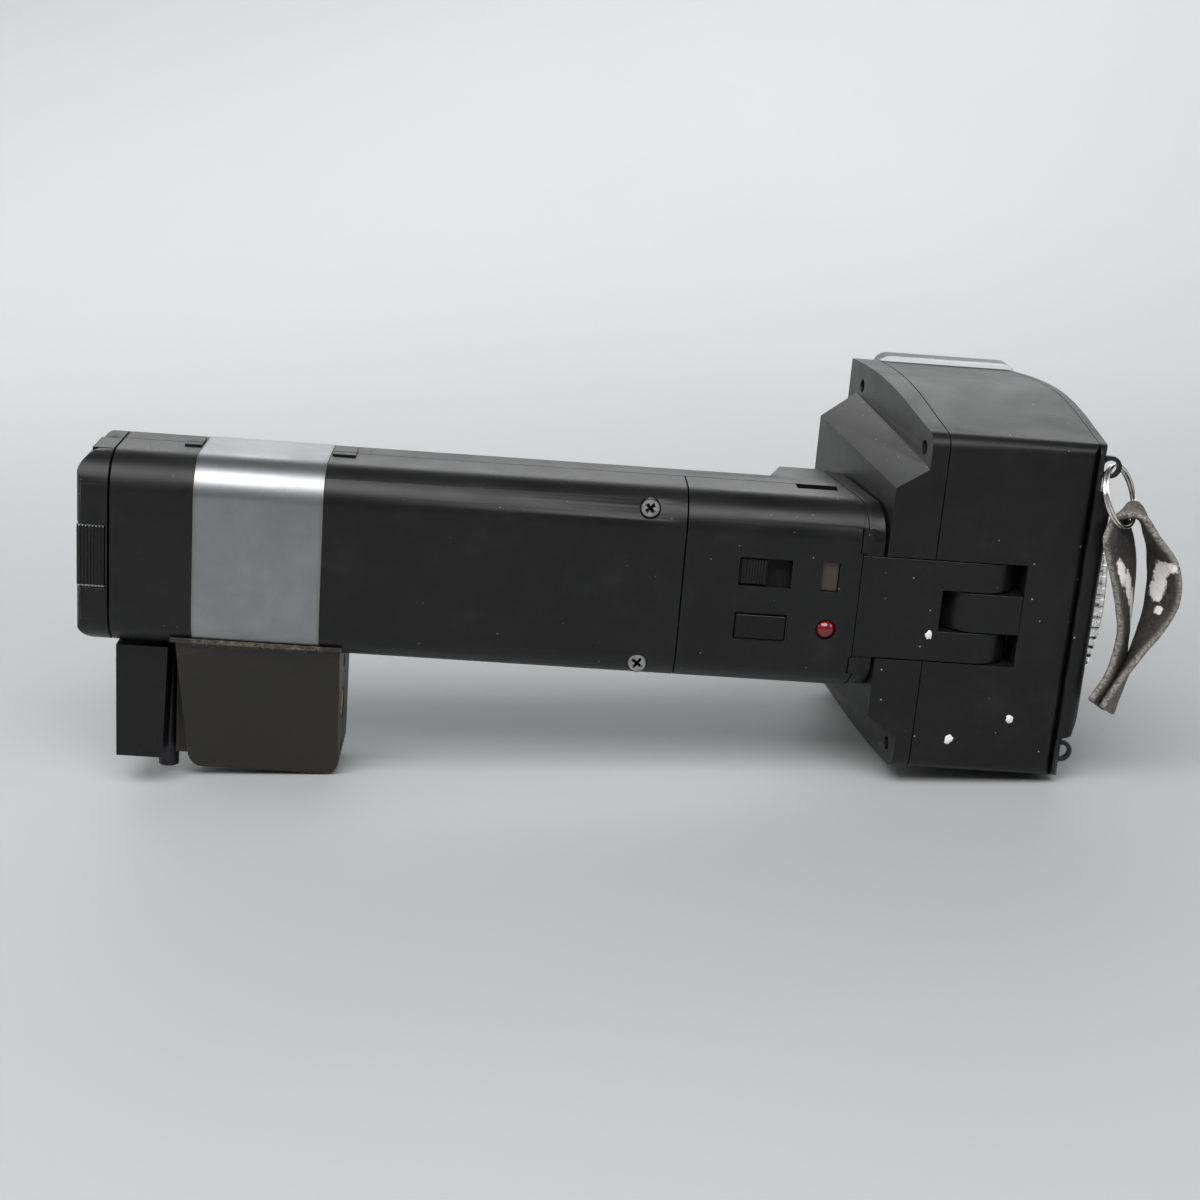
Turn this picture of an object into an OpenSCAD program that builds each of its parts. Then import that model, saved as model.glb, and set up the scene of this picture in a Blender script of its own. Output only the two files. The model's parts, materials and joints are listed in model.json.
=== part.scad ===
// Handle mount flash: a battery grip with a tilting flash head.
// Working frame of the modules: x runs along the grip from the battery cap's end
// face to the head, y from the back (user's side) to the front (subject's side),
// z across the grip with 0 on its middle plane.
// place() then lays the flash on its side, as it rests on a table.

/* [Grip] */
// Depth of the grip from its back face to its front face
grip_d = 36.4; // [35.4:0.2:37.4]
// Width of the grip across its two sides
grip_w = 51; // [50:0.2:52]
// Corner radius of the grip's section
grip_r = 10; // [8.6:0.2:10.6]
// Wall thickness of the moulded shells
wall = 2; // [1.8:0.1:2.2]
// Length of the battery cap
cap_l = 8; // [7.4:0.1:8.2]
// End of the long rear shell, measured from the cap's end face
rear_end = 154.1; // [153:0.1:154.2]
// End of the control cover at the back face
cover_end = 200; // [199.4:0.1:200.2]
// Depth from the back face at which the two shells part
seam_y = 20; // [19:0.2:21]
// Start of the silver clamp band
band_x = 29.3; // [28.6:0.1:30]
// Width of the silver clamp band
band_w = 32.7; // [31:0.1:33]

/* [Foot] */
// Reach of the foot block below the grip's middle plane
foot_drop = 62.6; // [61.6:0.1:63.4]
// Start of the foot block at its top
foot_x = 24.9; // [24.6:0.1:25.2]
// Face of the foot block that carries the bracket
foot_face_x = 67.4; // [67:0.1:68]
// Radius of the threaded bracket hole
bracket_hole_r = 3.1; // [2.9:0.1:3.3]
// Distance from the bracket hole to each locating hole
locate_pitch = 12.2; // [11.8:0.1:12.6]

/* [Head] */
// Depth of the head's shells from the back face to the window
head_d = 80; // [79.4:0.2:80.6]
// Half width of the head at its back face
head_half_back = 45.2; // [44.8:0.1:45.6]
// Half width of the head at its widest
head_half_max = 47.4; // [47:0.1:47.8]
// Half width of the head at its widest on the upper side
head_half_upper = 50.4; // [50:0.1:50.8]
// Distance of the tilt hinge's axis from the cap's end face
hinge_x = 232.3; // [232:0.1:232.6]
// Radius of the hinge knuckles, also the hinge axis's depth
knuckle_r = 9.8; // [9.6:0.1:9.9]
// Radius of the calculator dial
dial_r = 29.5; // [26:0.5:30]
// Number of grip ridges round the calculator dial
dial_ridges = 60; // [24:4:72]

/* [Strap] */
// Radius of the split ring, to the middle of its wire
ring_r = 8.1; // [7.8:0.1:8.4]
// Diameter of the split ring's wire
ring_wire = 0.9; // [0.8:0.05:1]

/* [Hidden] */
$fn = 64;

// Planes of the neck and head lean by this much x per y
neck_lean = 0.187;
// Small gap between fixed mouldings, and running gap between moving ones
part_gap = 0.15;
run_gap = 0.3;
shell_x = cap_l + 0.6;
grip_mid_y = grip_d / 2;
grip_half = grip_w / 2;
control_x = rear_end + 0.4;
band_t = 0.7;
// Deeper section of the grip at the neck, which holds the light sensor
sensor_x = 177;
sensor_ramp = 4.4;
sensor_depth = 42.3;
sensor_r = 4;
collar_x0 = cover_end + 0.2;
collar_x1 = 205.5;
notch_z = [[-19.5, -15.1], [13.1, 19.6]];
hump_x0 = 206.3;
// Hinge tongue
tongue_t = 5.6;
tongue_lo = -14.6;
tongue_hi = 12.6;
lug_lo = -6.4;
lug_hi = 4.7;
fork_x = 221.8;
lug_reach = 10.55;
pin_r = 2;
// The arm's root lies inside the neck, behind the control cover
arm_root_x = 195.8;
arm_root_y = 7.8;
// Head plan: seam, rim and hump lines lean forward, the top curves down to the window
rim_x0 = 214.3;
rim_lean = 0.115;
seam_x0 = 218.8;
seam_lean = 0.075;
top_x0 = 259.3;
top_fall = 8.4;
top_fall_y = 78;
cover_t = 2;
head_corner_r = 4;
swell_y = 54;
hump_y1 = 61.5;
slab_x = 262.5;
slab_half = 34.5;
// The slab is rooted this deep in the cover's wall
slab_sink = 1.9;
// Dial: knurled rim from dial_x0 to dial_x1, then a chamfer to its clear top
dial_y = 38.3;
dial_x0 = slab_x + 1.1;
dial_x1 = dial_x0 + 3.2;
dial_x2 = dial_x1 + 0.9;
dial_top_r = dial_r - 2.4;
// Strap lugs and ring
lug_x = 260.9;
lug_y = 3;
lug_z = 39.6;
low_lug_x = 259.6;
low_lug_z = -38.3;
lug_r = 2.9;
lug_hole_r = 1.8;
lug_t = 1.2;
// The ring's wire lies this far below the eyelet's centre
ring_sag = 0.3;
ring_drop = 62;
ring_twist = -35;
// Strap: depths of its two edges, and thickness
strap_near_y = -6;
strap_far_y = 6;
strap_t = 1.8;
// Bracket holes in the foot
bracket_z = -43.2;
insert_r = 4.4;
insert_l = 12;
locate_r = 2;
locate_l = 9;
foot_corner_r = 5;
foot_taper = 2.2;
foot_top = -22.1;
// The block's near face slants inward downwards, its far face is upright
foot_near_top = 2.2;
foot_near_low = 12.8;
foot_far = grip_d - 2.2;
foot_near_r = 1.8;
foot_far_r = 9;
lip_x0 = 23.7;
// Release lever and the pin that it rocks on
rod_x0 = 21.1;
rod_r = 2.75;
lever_lo = -57.4;
lever_hi = -26.3;
lever_half = 12.2;
// Screws through the two grip shells
screw_x = 144.6;
screw_z = 20.9;
screw_y = 1.8;
// Battery latch and side tab in the cap
latch_lo = -9.2;
latch_hi = 7.2;
tab_x0 = 2.6;
tab_y0 = 8.4;
tab_y1 = 19.4;
// Cells: two layers of three
cell_r = 7.2;
cell_x0 = 11.85;
cell_l = 50.5;
cell_pitch_y = 7.7;
cell_pitch_z = 14.8;
// Light sensor and sync socket on the front
sensor_lens_x = 186;
sync_x = 160;
sync_z = -12;
// Openings of the control cover, as x start, x end, z low, z high
switch_open = [168.6, 182.2, 2.5, 10.1];
button_open = [168.6, 182.1, -11.7, -4.7];
indicator_open = [190.1, 194.5, 2.3, 10.1];
lamp_x = 192.5;
lamp_z = -7.9;
// Rim screws of the head, as depths from the back and half spacings
rim_screw_y = [6.6, 67];
rim_screw_z = [40.6, 44];
// Centre of the flash's footprint
origin_x = 140.4;
origin_y = 38.77;
// Resting on the foot block's lower corner and on the head's lower edge
head_edge_y = 40;
head_edge_x = top_at(head_edge_y);
foot_edge_x = foot_face_x - foot_corner_r + 0.19;
rest_tilt = atan((foot_drop - head_half_max) / (head_edge_x - foot_edge_x));
rest_lift = (foot_edge_x - origin_x) * sin(rest_tilt) + foot_drop * cos(rest_tilt);

function seam_at(y) = seam_x0 - seam_lean * y;
function rim_at(y) = rim_x0 - rim_lean * y;
function hump_at(y) = hump_x0 - neck_lean * y;
function top_at(y) = top_x0 - top_fall * pow(max(y, 0) / top_fall_y, 3.5);
// Half width of the head's lower side: it swells from the back and eases off at the window
function half_at(y) = y < 40
    ? head_half_back + (head_half_max - head_half_back) * sin(90 * max(y, 0) / 40)
    : head_half_max - 0.5 * pow((y - 40) / 40, 2);
// The upper side swells further, and further forward
function upper_at(y) = y < swell_y
    ? head_half_back + (head_half_upper - head_half_back) * sin(90 * pow(max(y, 0) / swell_y, 1.2))
    : head_half_upper - pow((y - swell_y) / 26, 2);

module place() {
    translate([0, 0, rest_lift])
        rotate([0, rest_tilt, 0])
            translate([-origin_x, -origin_y, 0])
                children();
}

module box(x0, x1, y0, y1, z0, z1) {
    translate([x0, y0, z0]) cube([x1 - x0, y1 - y0, z1 - z0]);
}

module along_x(x0, x1) {
    translate([x0, 0, 0]) rotate([90, 0, 90]) linear_extrude(x1 - x0) children();
}

// Extrude an (x, z) outline from y0 to y1
module along_y(y0, y1) {
    translate([0, y1, 0]) rotate([90, 0, 0]) linear_extrude(y1 - y0) children();
}

module rod_x(x0, x1, y, z, r) {
    translate([x0, y, z]) rotate([0, 90, 0]) cylinder(h = x1 - x0, r = r);
}

module rod_y(x, y0, y1, z, r) {
    translate([x, y0, z]) rotate([-90, 0, 0]) cylinder(h = y1 - y0, r = r);
}

module rod_z(x, y, z0, z1, r) {
    translate([x, y, z0]) cylinder(h = z1 - z0, r = r);
}

module rounded_rect(w, h, r) {
    square([w - 2 * r, h], center = true);
    square([w, h - 2 * r], center = true);
    for (sx = [-1, 1], sy = [-1, 1])
        translate([sx * (w / 2 - r), sy * (h / 2 - r)]) circle(r);
}

module grip_section(inset = 0) {
    translate([grip_mid_y, 0])
        rounded_rect(grip_d - 2 * inset, grip_w - 2 * inset, grip_r - inset);
}

module sensor_section(inset = 0) {
    translate([(seam_y + sensor_depth) / 2, 0])
        rounded_rect(sensor_depth - seam_y - 2 * inset, grip_w - 2 * inset, sensor_r - inset);
}

// Slice of the neck between two leaning planes
module neck_slice(x0, x1) {
    linear_extrude(2 * grip_w, center = true)
        polygon([[x0 + neck_lean * 5, -5], [x1 + neck_lean * 5, -5],
            [x1, 0], [x1 - neck_lean * 60, 60], [x0 - neck_lean * 60, 60]]);
}

// Phillips screw head with its cross recess, seen from -y
module screw_head(x, y, z, r) {
    translate([x, y, z])
        rotate([-90, 0, 0])
            difference() {
                cylinder(h = 1.6, r = r);
                for (a = [35, 125])
                    rotate([0, 0, a])
                        translate([0, 0, 0.4]) cube([0.5, r * 1.3, 1], center = true);
            }
}

module grip_rear_shell() {
    color([0.07, 0.07, 0.075])
        difference() {
            union() {
                difference() {
                    along_x(shell_x, rear_end) grip_section();
                    along_x(shell_x - 1, rear_end + 1) grip_section(wall);
                }
                for (s = [-1, 1])
                    intersection() {
                        rod_y(screw_x, 1, seam_y, s * screw_z, 3);
                        along_x(shell_x, rear_end) grip_section(0.5);
                    }
            }
            box(shell_x - 1, rear_end + 1, seam_y - part_gap, grip_d + 1, -grip_w, grip_w);
            band_recess();
            for (s = [-1, 1]) {
                rod_y(screw_x, -1, screw_y + 1.7, s * screw_z, 2.7);
                rod_y(screw_x, 2, seam_y + 1, s * screw_z, 1.25);
            }
        }
}

// Shallow step in the shells that the clamp band fills
module band_recess() {
    difference() {
        along_x(band_x - 0.1, band_x + band_w + 0.1) square([3 * grip_d, 2 * grip_w], center = true);
        along_x(band_x - 1, band_x + band_w + 1) grip_section(band_t - 0.1);
    }
}

module grip_front_shell() {
    color([0.07, 0.07, 0.075])
        difference() {
            union() {
                intersection() {
                    along_x(shell_x, cover_end) grip_section();
                    neck_slice(shell_x - 60, cover_end);
                    box(shell_x, cover_end, seam_y + part_gap, grip_d, -grip_w, grip_w);
                }
                front_bulge();
            }
            difference() {
                along_x(shell_x - 1, cover_end + 1) grip_section(wall);
                for (s = [-1, 1])
                    rod_y(screw_x, seam_y, grip_d - 1, s * (screw_z - 0.4), 2.6);
                rod_y(194, seam_y, grip_d - 1, 17, 2.4);
                rod_y(194, seam_y, grip_d - 1, -19, 2.4);
            }
            band_recess();
            for (s = [-1, 1])
                rod_y(screw_x, seam_y - 1, 31, s * screw_z, 1.05);
            rod_y(sensor_lens_x, grip_d - 4, sensor_depth + 1, 0, 3.2);
            rod_y(sync_x, grip_d - 6, grip_d + 1, sync_z, 3.25);
            box(sensor_x + 8, cover_end - 10, grip_d - 3, sensor_depth - 2, 7, 21);
        }
}

module front_bulge() {
    intersection() {
        along_x(sensor_x, cover_end) sensor_section();
        neck_slice(sensor_x - 60, cover_end);
        linear_extrude(grip_w, center = true)
            polygon([[sensor_x, seam_y + 4], [sensor_x + 0.6, 27], [sensor_x + sensor_ramp, 38.5],
                [sensor_x + sensor_ramp + 1.2, sensor_depth + 0.1],
                [cover_end, sensor_depth + 0.1], [cover_end, seam_y + 4]]);
    }
}

module cover_window(w, clear = 0) {
    box(w[0] - clear, w[1] + clear, -1, wall + 1, w[2] - clear, w[3] + clear);
}

module control_cover() {
    color([0.07, 0.07, 0.075])
        difference() {
            intersection() {
                along_x(control_x, cover_end) grip_section();
                neck_slice(control_x - 60, cover_end);
                box(control_x, cover_end, 0, seam_y - part_gap, -grip_w, grip_w);
            }
            along_x(control_x + 1.2, cover_end + 1) grip_section(wall);
            along_x(control_x - 1, control_x + 2) grip_section(2 * wall);
            cover_window(switch_open);
            cover_window(button_open);
            cover_window(indicator_open);
            rod_y(lamp_x, -1, wall + 1, lamp_z, 2.65);
            // Slot at the seam on the upper side
            box(183.6, 194.4, seam_y - 4.6, seam_y, grip_half - 3, grip_half + 1);
            // Seats of the collar's notch tabs
            for (z = notch_z)
                box(cover_end - 0.7, cover_end + 1, -1, 2.4, z[0] - 0.15, z[1] + 0.15);
        }
}

module neck_collar() {
    color([0.06, 0.06, 0.065])
        difference() {
            union() {
                intersection() {
                    along_x(collar_x0 - 10, collar_x1) union() {
                        grip_section(0.5);
                        sensor_section(0.5);
                    }
                    neck_slice(collar_x0, collar_x1);
                }
                intersection() {
                    along_x(collar_x0 - 10, collar_x1) union() {
                        grip_section(0.05);
                        sensor_section(0.05);
                    }
                    neck_slice(collar_x0 + 1, collar_x0 + 2);
                }
                // Notch tabs beside the tongue
                for (z = notch_z)
                    box(collar_x0 - 0.6, collar_x0 + 2.2, 0.05, 2.2, z[0], z[1]);
            }
            box(collar_x0 - 12, collar_x1 + 1, -1, tongue_t + 0.05, tongue_lo - 0.05, tongue_hi + 0.05);
        }
}

module clamp_band() {
    color([0.75, 0.76, 0.78])
        difference() {
            along_x(band_x, band_x + band_w) grip_section(-0.15);
            along_x(band_x - 1, band_x + band_w + 1) grip_section(band_t - 0.15);
        }
}

// Ribbed catches on the seam, either side of the band
module seam_catches() {
    color([0.09, 0.09, 0.095])
        for (c = [[band_x - 4.8, 4.4], [band_x + band_w + 0.4, 6]])
            for (k = [0:2])
                translate([c[0], seam_y - 4.4 + 3 * k, grip_half]) cube([c[1], k == 1 ? 3 : 2.6, 0.6]);
}

module grip_screws() {
    color([0.6, 0.6, 0.58])
        for (s = [-1, 1]) {
            screw_head(screw_x, screw_y, s * screw_z, 2.5);
            rod_y(screw_x, screw_y + 1.6, 26, s * screw_z, 1.05);
        }
}

module hinge_arm() {
    color([0.065, 0.065, 0.07])
        difference() {
            union() {
                box(cover_end + 0.15, hinge_x, 0, tongue_t, tongue_lo, tongue_hi);
                box(arm_root_x, cover_end + 1, wall + 0.1, tongue_t, -11, 10);
                box(arm_root_x, arm_root_x + 2.6, wall + 0.1, arm_root_y, -11, 10);
                rod_z(hinge_x, knuckle_r, tongue_lo, tongue_hi, knuckle_r);
            }
            box(fork_x, hinge_x + knuckle_r + 1, -1, 2 * knuckle_r + 1, lug_lo, lug_hi);
            rod_z(hinge_x, knuckle_r, tongue_lo - 1, tongue_hi + 1, pin_r);
        }
}

module hinge_pin() {
    color([0.62, 0.62, 0.63])
        rod_z(hinge_x, knuckle_r, tongue_lo + 0.2, tongue_hi - 0.2, pin_r);
}

module foot_block() {
    color([0.075, 0.07, 0.066])
        difference() {
            union() {
                intersection() {
                    along_y(0, grip_d) foot_outline();
                    along_x(foot_x - 1, foot_face_x + 2) foot_section();
                }
                // Web behind the release pin
                box(rod_x0 + rod_r + 0.05, foot_x + 4, foot_near_low, 24.2, -58, -25);
            }
            along_x(foot_x - 2, foot_face_x + 2) grip_section(-0.2);
            rod_x(foot_face_x - insert_l, foot_face_x + 1, grip_mid_y, bracket_z, insert_r);
            for (s = [-1, 1])
                rod_x(foot_face_x - locate_l, foot_face_x + 1,
                    grip_mid_y, bracket_z + s * locate_pitch, locate_r);
        }
}

// Section of the foot block, with its lower edges rounded
module foot_section() {
    lo = -foot_drop;
    translate([foot_near_low + foot_near_r, lo + foot_near_r]) circle(foot_near_r);
    translate([foot_far - foot_far_r, lo + foot_far_r]) circle(foot_far_r);
    polygon([[foot_near_top, foot_top], [foot_near_low, lo + foot_near_r],
        [foot_near_low + foot_near_r, lo], [foot_far - foot_far_r, lo],
        [foot_far, lo + foot_far_r], [foot_far, foot_top]]);
}

// Side outline of the foot block: tapered at the left, with round lower corners
module foot_outline() {
    r = foot_corner_r;
    lo = -foot_drop;
    x0 = foot_x + foot_taper;
    translate([x0 + r, lo + r]) circle(r);
    translate([foot_face_x - r, lo + r]) circle(r);
    polygon([[foot_x, foot_top], [x0, lo + r], [x0 + r, lo], [foot_face_x - r, lo],
        [foot_face_x, lo + r], [foot_face_x, foot_top]]);
}

module foot_lip() {
    color([0.12, 0.1, 0.085])
        difference() {
            along_x(lip_x0, foot_face_x + 0.6)
                translate([grip_mid_y, -22.7]) square([foot_far - foot_near_top + 1, 1.2], center = true);
            along_x(lip_x0 - 1, foot_face_x + 2) grip_section(-0.2);
            along_x(lip_x0 - 1, foot_face_x + 2) foot_section();
        }
}

module bracket_insert() {
    color([0.66, 0.6, 0.42])
        difference() {
            rod_x(foot_face_x - insert_l + 0.05, foot_face_x - 0.3, grip_mid_y, bracket_z, insert_r - 0.02);
            rod_x(foot_face_x - insert_l - 1, foot_face_x + 1, grip_mid_y, bracket_z, bracket_hole_r);
        }
}

module release_pin() {
    color([0.1, 0.1, 0.1])
        rod_z(rod_x0, grip_mid_y, -63.7, -grip_half - 0.03, rod_r);
}

// Lever that rocks on the pin, tapered like the gap beside the foot block
module release_lever() {
    color([0.06, 0.06, 0.062])
        difference() {
            along_y(grip_mid_y - lever_half, grip_mid_y + lever_half)
                polygon([[9.1, lever_hi], [9.3, lever_lo], [21.4, lever_lo], [22.6, lever_hi]]);
            rod_z(rod_x0, grip_mid_y, lever_lo - 1, lever_hi + 1, rod_r + 0.05);
        }
}

// Rounded outline of the cap, with its end at 0
module cap_outline(half, r) {
    polygon([[cap_l, -half], [cap_l, half], [r, half], [0, half - r], [0, -half + r], [r, -half]]);
    for (s = [-1, 1])
        translate([r, s * (half - r)]) circle(r);
}

module battery_cap() {
    color([0.07, 0.07, 0.075])
        difference() {
            intersection() {
                along_x(0, cap_l) grip_section();
                along_y(-1, grip_d + 1) cap_outline(grip_half, 6);
                translate([0, grip_mid_y, 0])
                    linear_extrude(2 * grip_w, center = true) cap_outline(grip_mid_y, 2.5);
            }
            along_x(wall, cap_l + 1) grip_section(wall + 0.4);
            // Latch window in the back face and tab window in the upper side
            box(-1, cap_l - 0.5, -1, 4, latch_lo - 0.25, latch_hi + 0.25);
            box(tab_x0 - 0.15, cap_l + 1, tab_y0 - 0.15, tab_y1 + 0.15, grip_half - 1, grip_half + 1);
        }
}

module cap_latch() {
    color([0.06, 0.06, 0.062])
        union() {
            box(0.2, cap_l - 0.75, 0.75, 2.1, latch_lo, latch_hi);
            for (k = [0:7])
                rod_z(0.9 + 0.85 * k, 0.75, latch_lo, latch_hi, 0.36);
        }
}

module cap_side_tab() {
    color([0.075, 0.075, 0.08])
        box(tab_x0, cap_l, tab_y0, tab_y1, grip_half - 1, grip_half - 0.05);
}

module battery_holder() {
    color([0.12, 0.12, 0.13])
        union() {
            for (x = [cap_l + 1, 63.2])
                along_x(x, x + 2) translate([grip_mid_y, 0]) rounded_rect(31.2, 45.6, 7.2);
            box(cap_l + 1, 65, grip_mid_y - 0.3, grip_mid_y + 0.3, -22.4, 22.4);
            // Stem that ties the holder to the cap
            box(wall + 0.03, cap_l + 1.5, grip_mid_y - 4, grip_mid_y + 4, -15, 15);
        }
}

module battery_cells() {
    for (sy = [-1, 1], sz = [-1, 0, 1]) {
        translate([cell_x0, grip_mid_y + sy * cell_pitch_y, sz * cell_pitch_z])
            rotate([0, 90, 0]) {
                color([0.2, 0.32, 0.45]) cylinder(h = cell_l - 1.2, r = cell_r);
                color([0.75, 0.75, 0.72]) translate([0, 0, cell_l - 1.3]) cylinder(h = 1.3, r = 2.7);
            }
    }
}

module contact_strips() {
    color([0.72, 0.7, 0.62])
        for (x = [11.1, 62.4], sy = [-1, 1], sz = [-1, 0, 1])
            translate([x, grip_mid_y + sy * cell_pitch_y, sz * cell_pitch_z])
                translate([0, -4.5, -4]) cube([0.7, 9, 8]);
}

module main_capacitor() {
    color([0.1, 0.12, 0.3])
        union() {
            rod_x(70, 132, grip_mid_y, 7.4, 15);
            for (s = [-1, 1])
                rod_x(131, 136, grip_mid_y + 5 * s, 7.4, 0.9);
        }
}

module power_board() {
    color([0.16, 0.32, 0.18])
        union() {
            box(68, 150, 4.5, 31.9, -11.4, -9.8);
            box(110, 118, 8, 14, -14.6, -11);
            rod_z(126, 12, -20, -11, 4);
            rod_z(136, 22, -18, -11, 3.2);
            box(140, 147, 9, 24, -13.4, -11);
        }
}

module inverter_transformer() {
    color([0.55, 0.42, 0.18])
        union() {
            box(76, 80, 9, 27, -22, -11.4);
            box(94, 98, 9, 27, -22, -11.4);
            rod_x(79, 95, 18, -16.8, 5.1);
        }
}

module control_board() {
    color([0.16, 0.32, 0.18])
        union() {
            box(158, 196, 8.2, 9.8, -21, 20);
            box(160, 166, 9.5, 12.5, -14, -4);
            rod_y(163, 9.5, 20, 12, 3.4);
        }
}

module power_switch_body() {
    color([0.05, 0.05, 0.055])
        box(167.5, 183.1, wall + 2, 8.2, 1.2, 11.4);
}

module power_slider() {
    color([0.05, 0.05, 0.052])
        union() {
            box(switch_open[0] + 0.3, switch_open[0] + 7.3, 0.9, wall + 1.6, 3.0, 9.6);
            for (k = [0:4])
                rod_z(switch_open[0] + 0.95 + 1.42 * k, 0.9, 3.0, 9.6, 0.42);
        }
}

module test_button() {
    color([0.04, 0.04, 0.045])
        union() {
            box(button_open[0] + 0.3, button_open[1] - 0.3, -0.6, 3.6,
                button_open[2] + 0.3, button_open[3] - 0.3);
            box(172.5, 178.2, 3.4, 5.6, -10, -6.4);
        }
}

module ready_lamp() {
    color([0.55, 0.03, 0.04])
        union() {
            intersection() {
                translate([lamp_x, 1.6, lamp_z]) sphere(2.65);
                rod_y(lamp_x, -1.2, 2, lamp_z, 2.4);
            }
            rod_y(lamp_x, 1.4, 6, lamp_z, 2.5);
        }
}

module indicator_window() {
    color([0.5, 0.47, 0.38])
        box(indicator_open[0] + 0.1, indicator_open[1] - 0.1, 1.1, wall + 0.8,
            indicator_open[2] + 0.1, indicator_open[3] - 0.1);
}

module seam_slot_plate() {
    color([0.03, 0.03, 0.03])
        box(182.6, 195.4, seam_y - 5.6, seam_y - 0.4, grip_half - 3.4, grip_half - 2.1);
}

module sensor_lens() {
    color([0.1, 0.02, 0.03])
        union() {
            rod_y(sensor_lens_x, sensor_depth - 4, sensor_depth - 0.6, 0, 3.1);
            intersection() {
                translate([sensor_lens_x, sensor_depth - 5, 0]) sphere(5.4);
                rod_y(sensor_lens_x, sensor_depth - 2, sensor_depth + 1, 0, 2.7);
            }
        }
}

module sensor_cell() {
    color([0.2, 0.2, 0.22])
        rod_y(sensor_lens_x, grip_d - 1.6, sensor_depth - 4.1, 0, 2.2);
}

// Section of the head across its depth, inset by i, with round back corners
function side_at(y, up) = up ? upper_at(y) : half_at(y);
function head_half_pts(i, y_end, up) =
    let (r = max(head_corner_r - i, 0.9), zc = side_at(i + r, up) - i - r)
    concat(
        [for (a = [0:15:90]) [i + r * (1 - cos(a)), zc + r * sin(a)]],
        [for (y = [10:8:y_end]) [y, side_at(y, up) - i]],
        [[y_end, side_at(y_end, up) - i]]
    );
function mirror_z(pts) = [for (k = [len(pts) - 1:-1:0]) [pts[k][0], -pts[k][1]]];

module head_section(i = 0, y_end = head_d) {
    polygon(concat(head_half_pts(i, y_end, true), mirror_z(head_half_pts(i, y_end, false))));
}

// Plan of the head between a leaning line and the curve of the top, lowered by t
module head_plan(x_back, x_front, t, r = 3, y_end = head_d) {
    y_list = [10, 24, 36, 46, 54, 62, 68, 74, y_end];
    polygon(concat(
        [[x_front, y_end], [x_back, 0]],
        [for (a = [0:15:90]) [top_x0 - t - r + r * sin(a), r * (1 - cos(a))]],
        [for (y = y_list) [top_at(y) - t, y]]
    ));
}

// Pocket in the head for the hinge arm's tongue and knuckles
module hinge_pocket(grow = 0) {
    g = run_gap + grow;
    z0 = tongue_lo - g;
    h = tongue_hi - tongue_lo + 2 * g;
    translate([0, 0, z0]) {
        translate([hump_x0 - 20, -1, 0]) cube([hinge_x - hump_x0 + 20, tongue_t + 0.4 + grow + 1, h]);
        translate([hinge_x, knuckle_r, 0]) cylinder(h = h, r = knuckle_r + 0.35 + grow);
        translate([hinge_x, -1, 0]) cube([10.6 + grow, knuckle_r + 1, h]);
    }
}

module head_main_shell() {
    color([0.065, 0.065, 0.07])
        difference() {
            union() {
                difference() {
                    intersection() {
                        along_x(seam_at(head_d) - 2, top_x0) head_section();
                        linear_extrude(4 * head_half_max, center = true)
                            head_plan(seam_x0 + part_gap, seam_at(head_d) + part_gap, cover_t + part_gap);
                    }
                    along_x(seam_at(head_d) - 4, top_x0 + 2) head_section(2.2, head_d - 3);
                    // Window opening of the front frame
                    box(215.4, 247.6, head_d - 4, head_d + 1, -44, 44);
                }
                // Walls of the hinge pocket
                intersection() {
                    hinge_pocket(1.3);
                    box(seam_x0 + part_gap, hinge_x + 13, 0, 30, -20, 20);
                }
            }
            hinge_pocket();
        }
}

// Frustum of the hump, shrunk by t on every face
module hump_solid(t = 0) {
    b0 = 31 - t;
    b1 = 35.7 - t;
    c0 = 37 - t;
    c1 = 41.4 - t;
    pts = [
        [hump_at(t) + t, t, -b0], [hump_at(t) + t, t, b0],
        [hump_at(hump_y1 - t) + t, hump_y1 - t, b1], [hump_at(hump_y1 - t) + t, hump_y1 - t, -b1],
        [rim_at(t) + 1 + t, t, -c0], [rim_at(t) + 1 + t, t, c0],
        [rim_at(73) + 1 + t, 73 - t, c1], [rim_at(73) + 1 + t, 73 - t, -c1]
    ];
    hull() polyhedron(points = pts, faces = [
        [0, 1, 2, 3], [7, 6, 5, 4], [0, 4, 5, 1], [1, 5, 6, 2], [2, 6, 7, 3], [3, 7, 4, 0]
    ]);
}

module rim_slab(x_lo, x_hi_shift, inset, y_end) {
    intersection() {
        along_x(190, seam_x0 + 1) head_section(inset, y_end);
        linear_extrude(4 * head_half_max, center = true)
            polygon([[rim_x0 + x_lo, 0], [seam_x0 - x_hi_shift, 0],
                [seam_at(head_d) - x_hi_shift, head_d], [rim_at(head_d) + x_lo, head_d]]);
    }
}

module head_rear_shell() {
    color([0.065, 0.065, 0.07])
        difference() {
            union() {
                difference() {
                    union() {
                        rim_slab(0, part_gap, 0, head_d);
                        hump_solid();
                    }
                    hump_solid(wall);
                    rim_slab(wall, -2, 6.5, head_d - 8);
                }
                intersection() {
                    hinge_pocket(1.3);
                    box(hump_x0 + 1, seam_x0 - part_gap, 0, 12, -20, 20);
                }
            }
            hinge_pocket();
            for (k = [0, 1], s = [-1, 1])
                rod_x(rim_at(rim_screw_y[k]) - 3, rim_at(rim_screw_y[k]) + 3,
                    rim_screw_y[k], s * rim_screw_z[k], 1.9);
        }
}

module rim_screws() {
    color([0.35, 0.35, 0.36])
        for (k = [0, 1], s = [-1, 1])
            rod_x(rim_at(rim_screw_y[k]) + 1.6, rim_at(rim_screw_y[k]) + 2.9,
                rim_screw_y[k], s * rim_screw_z[k], 1.7);
}

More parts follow.
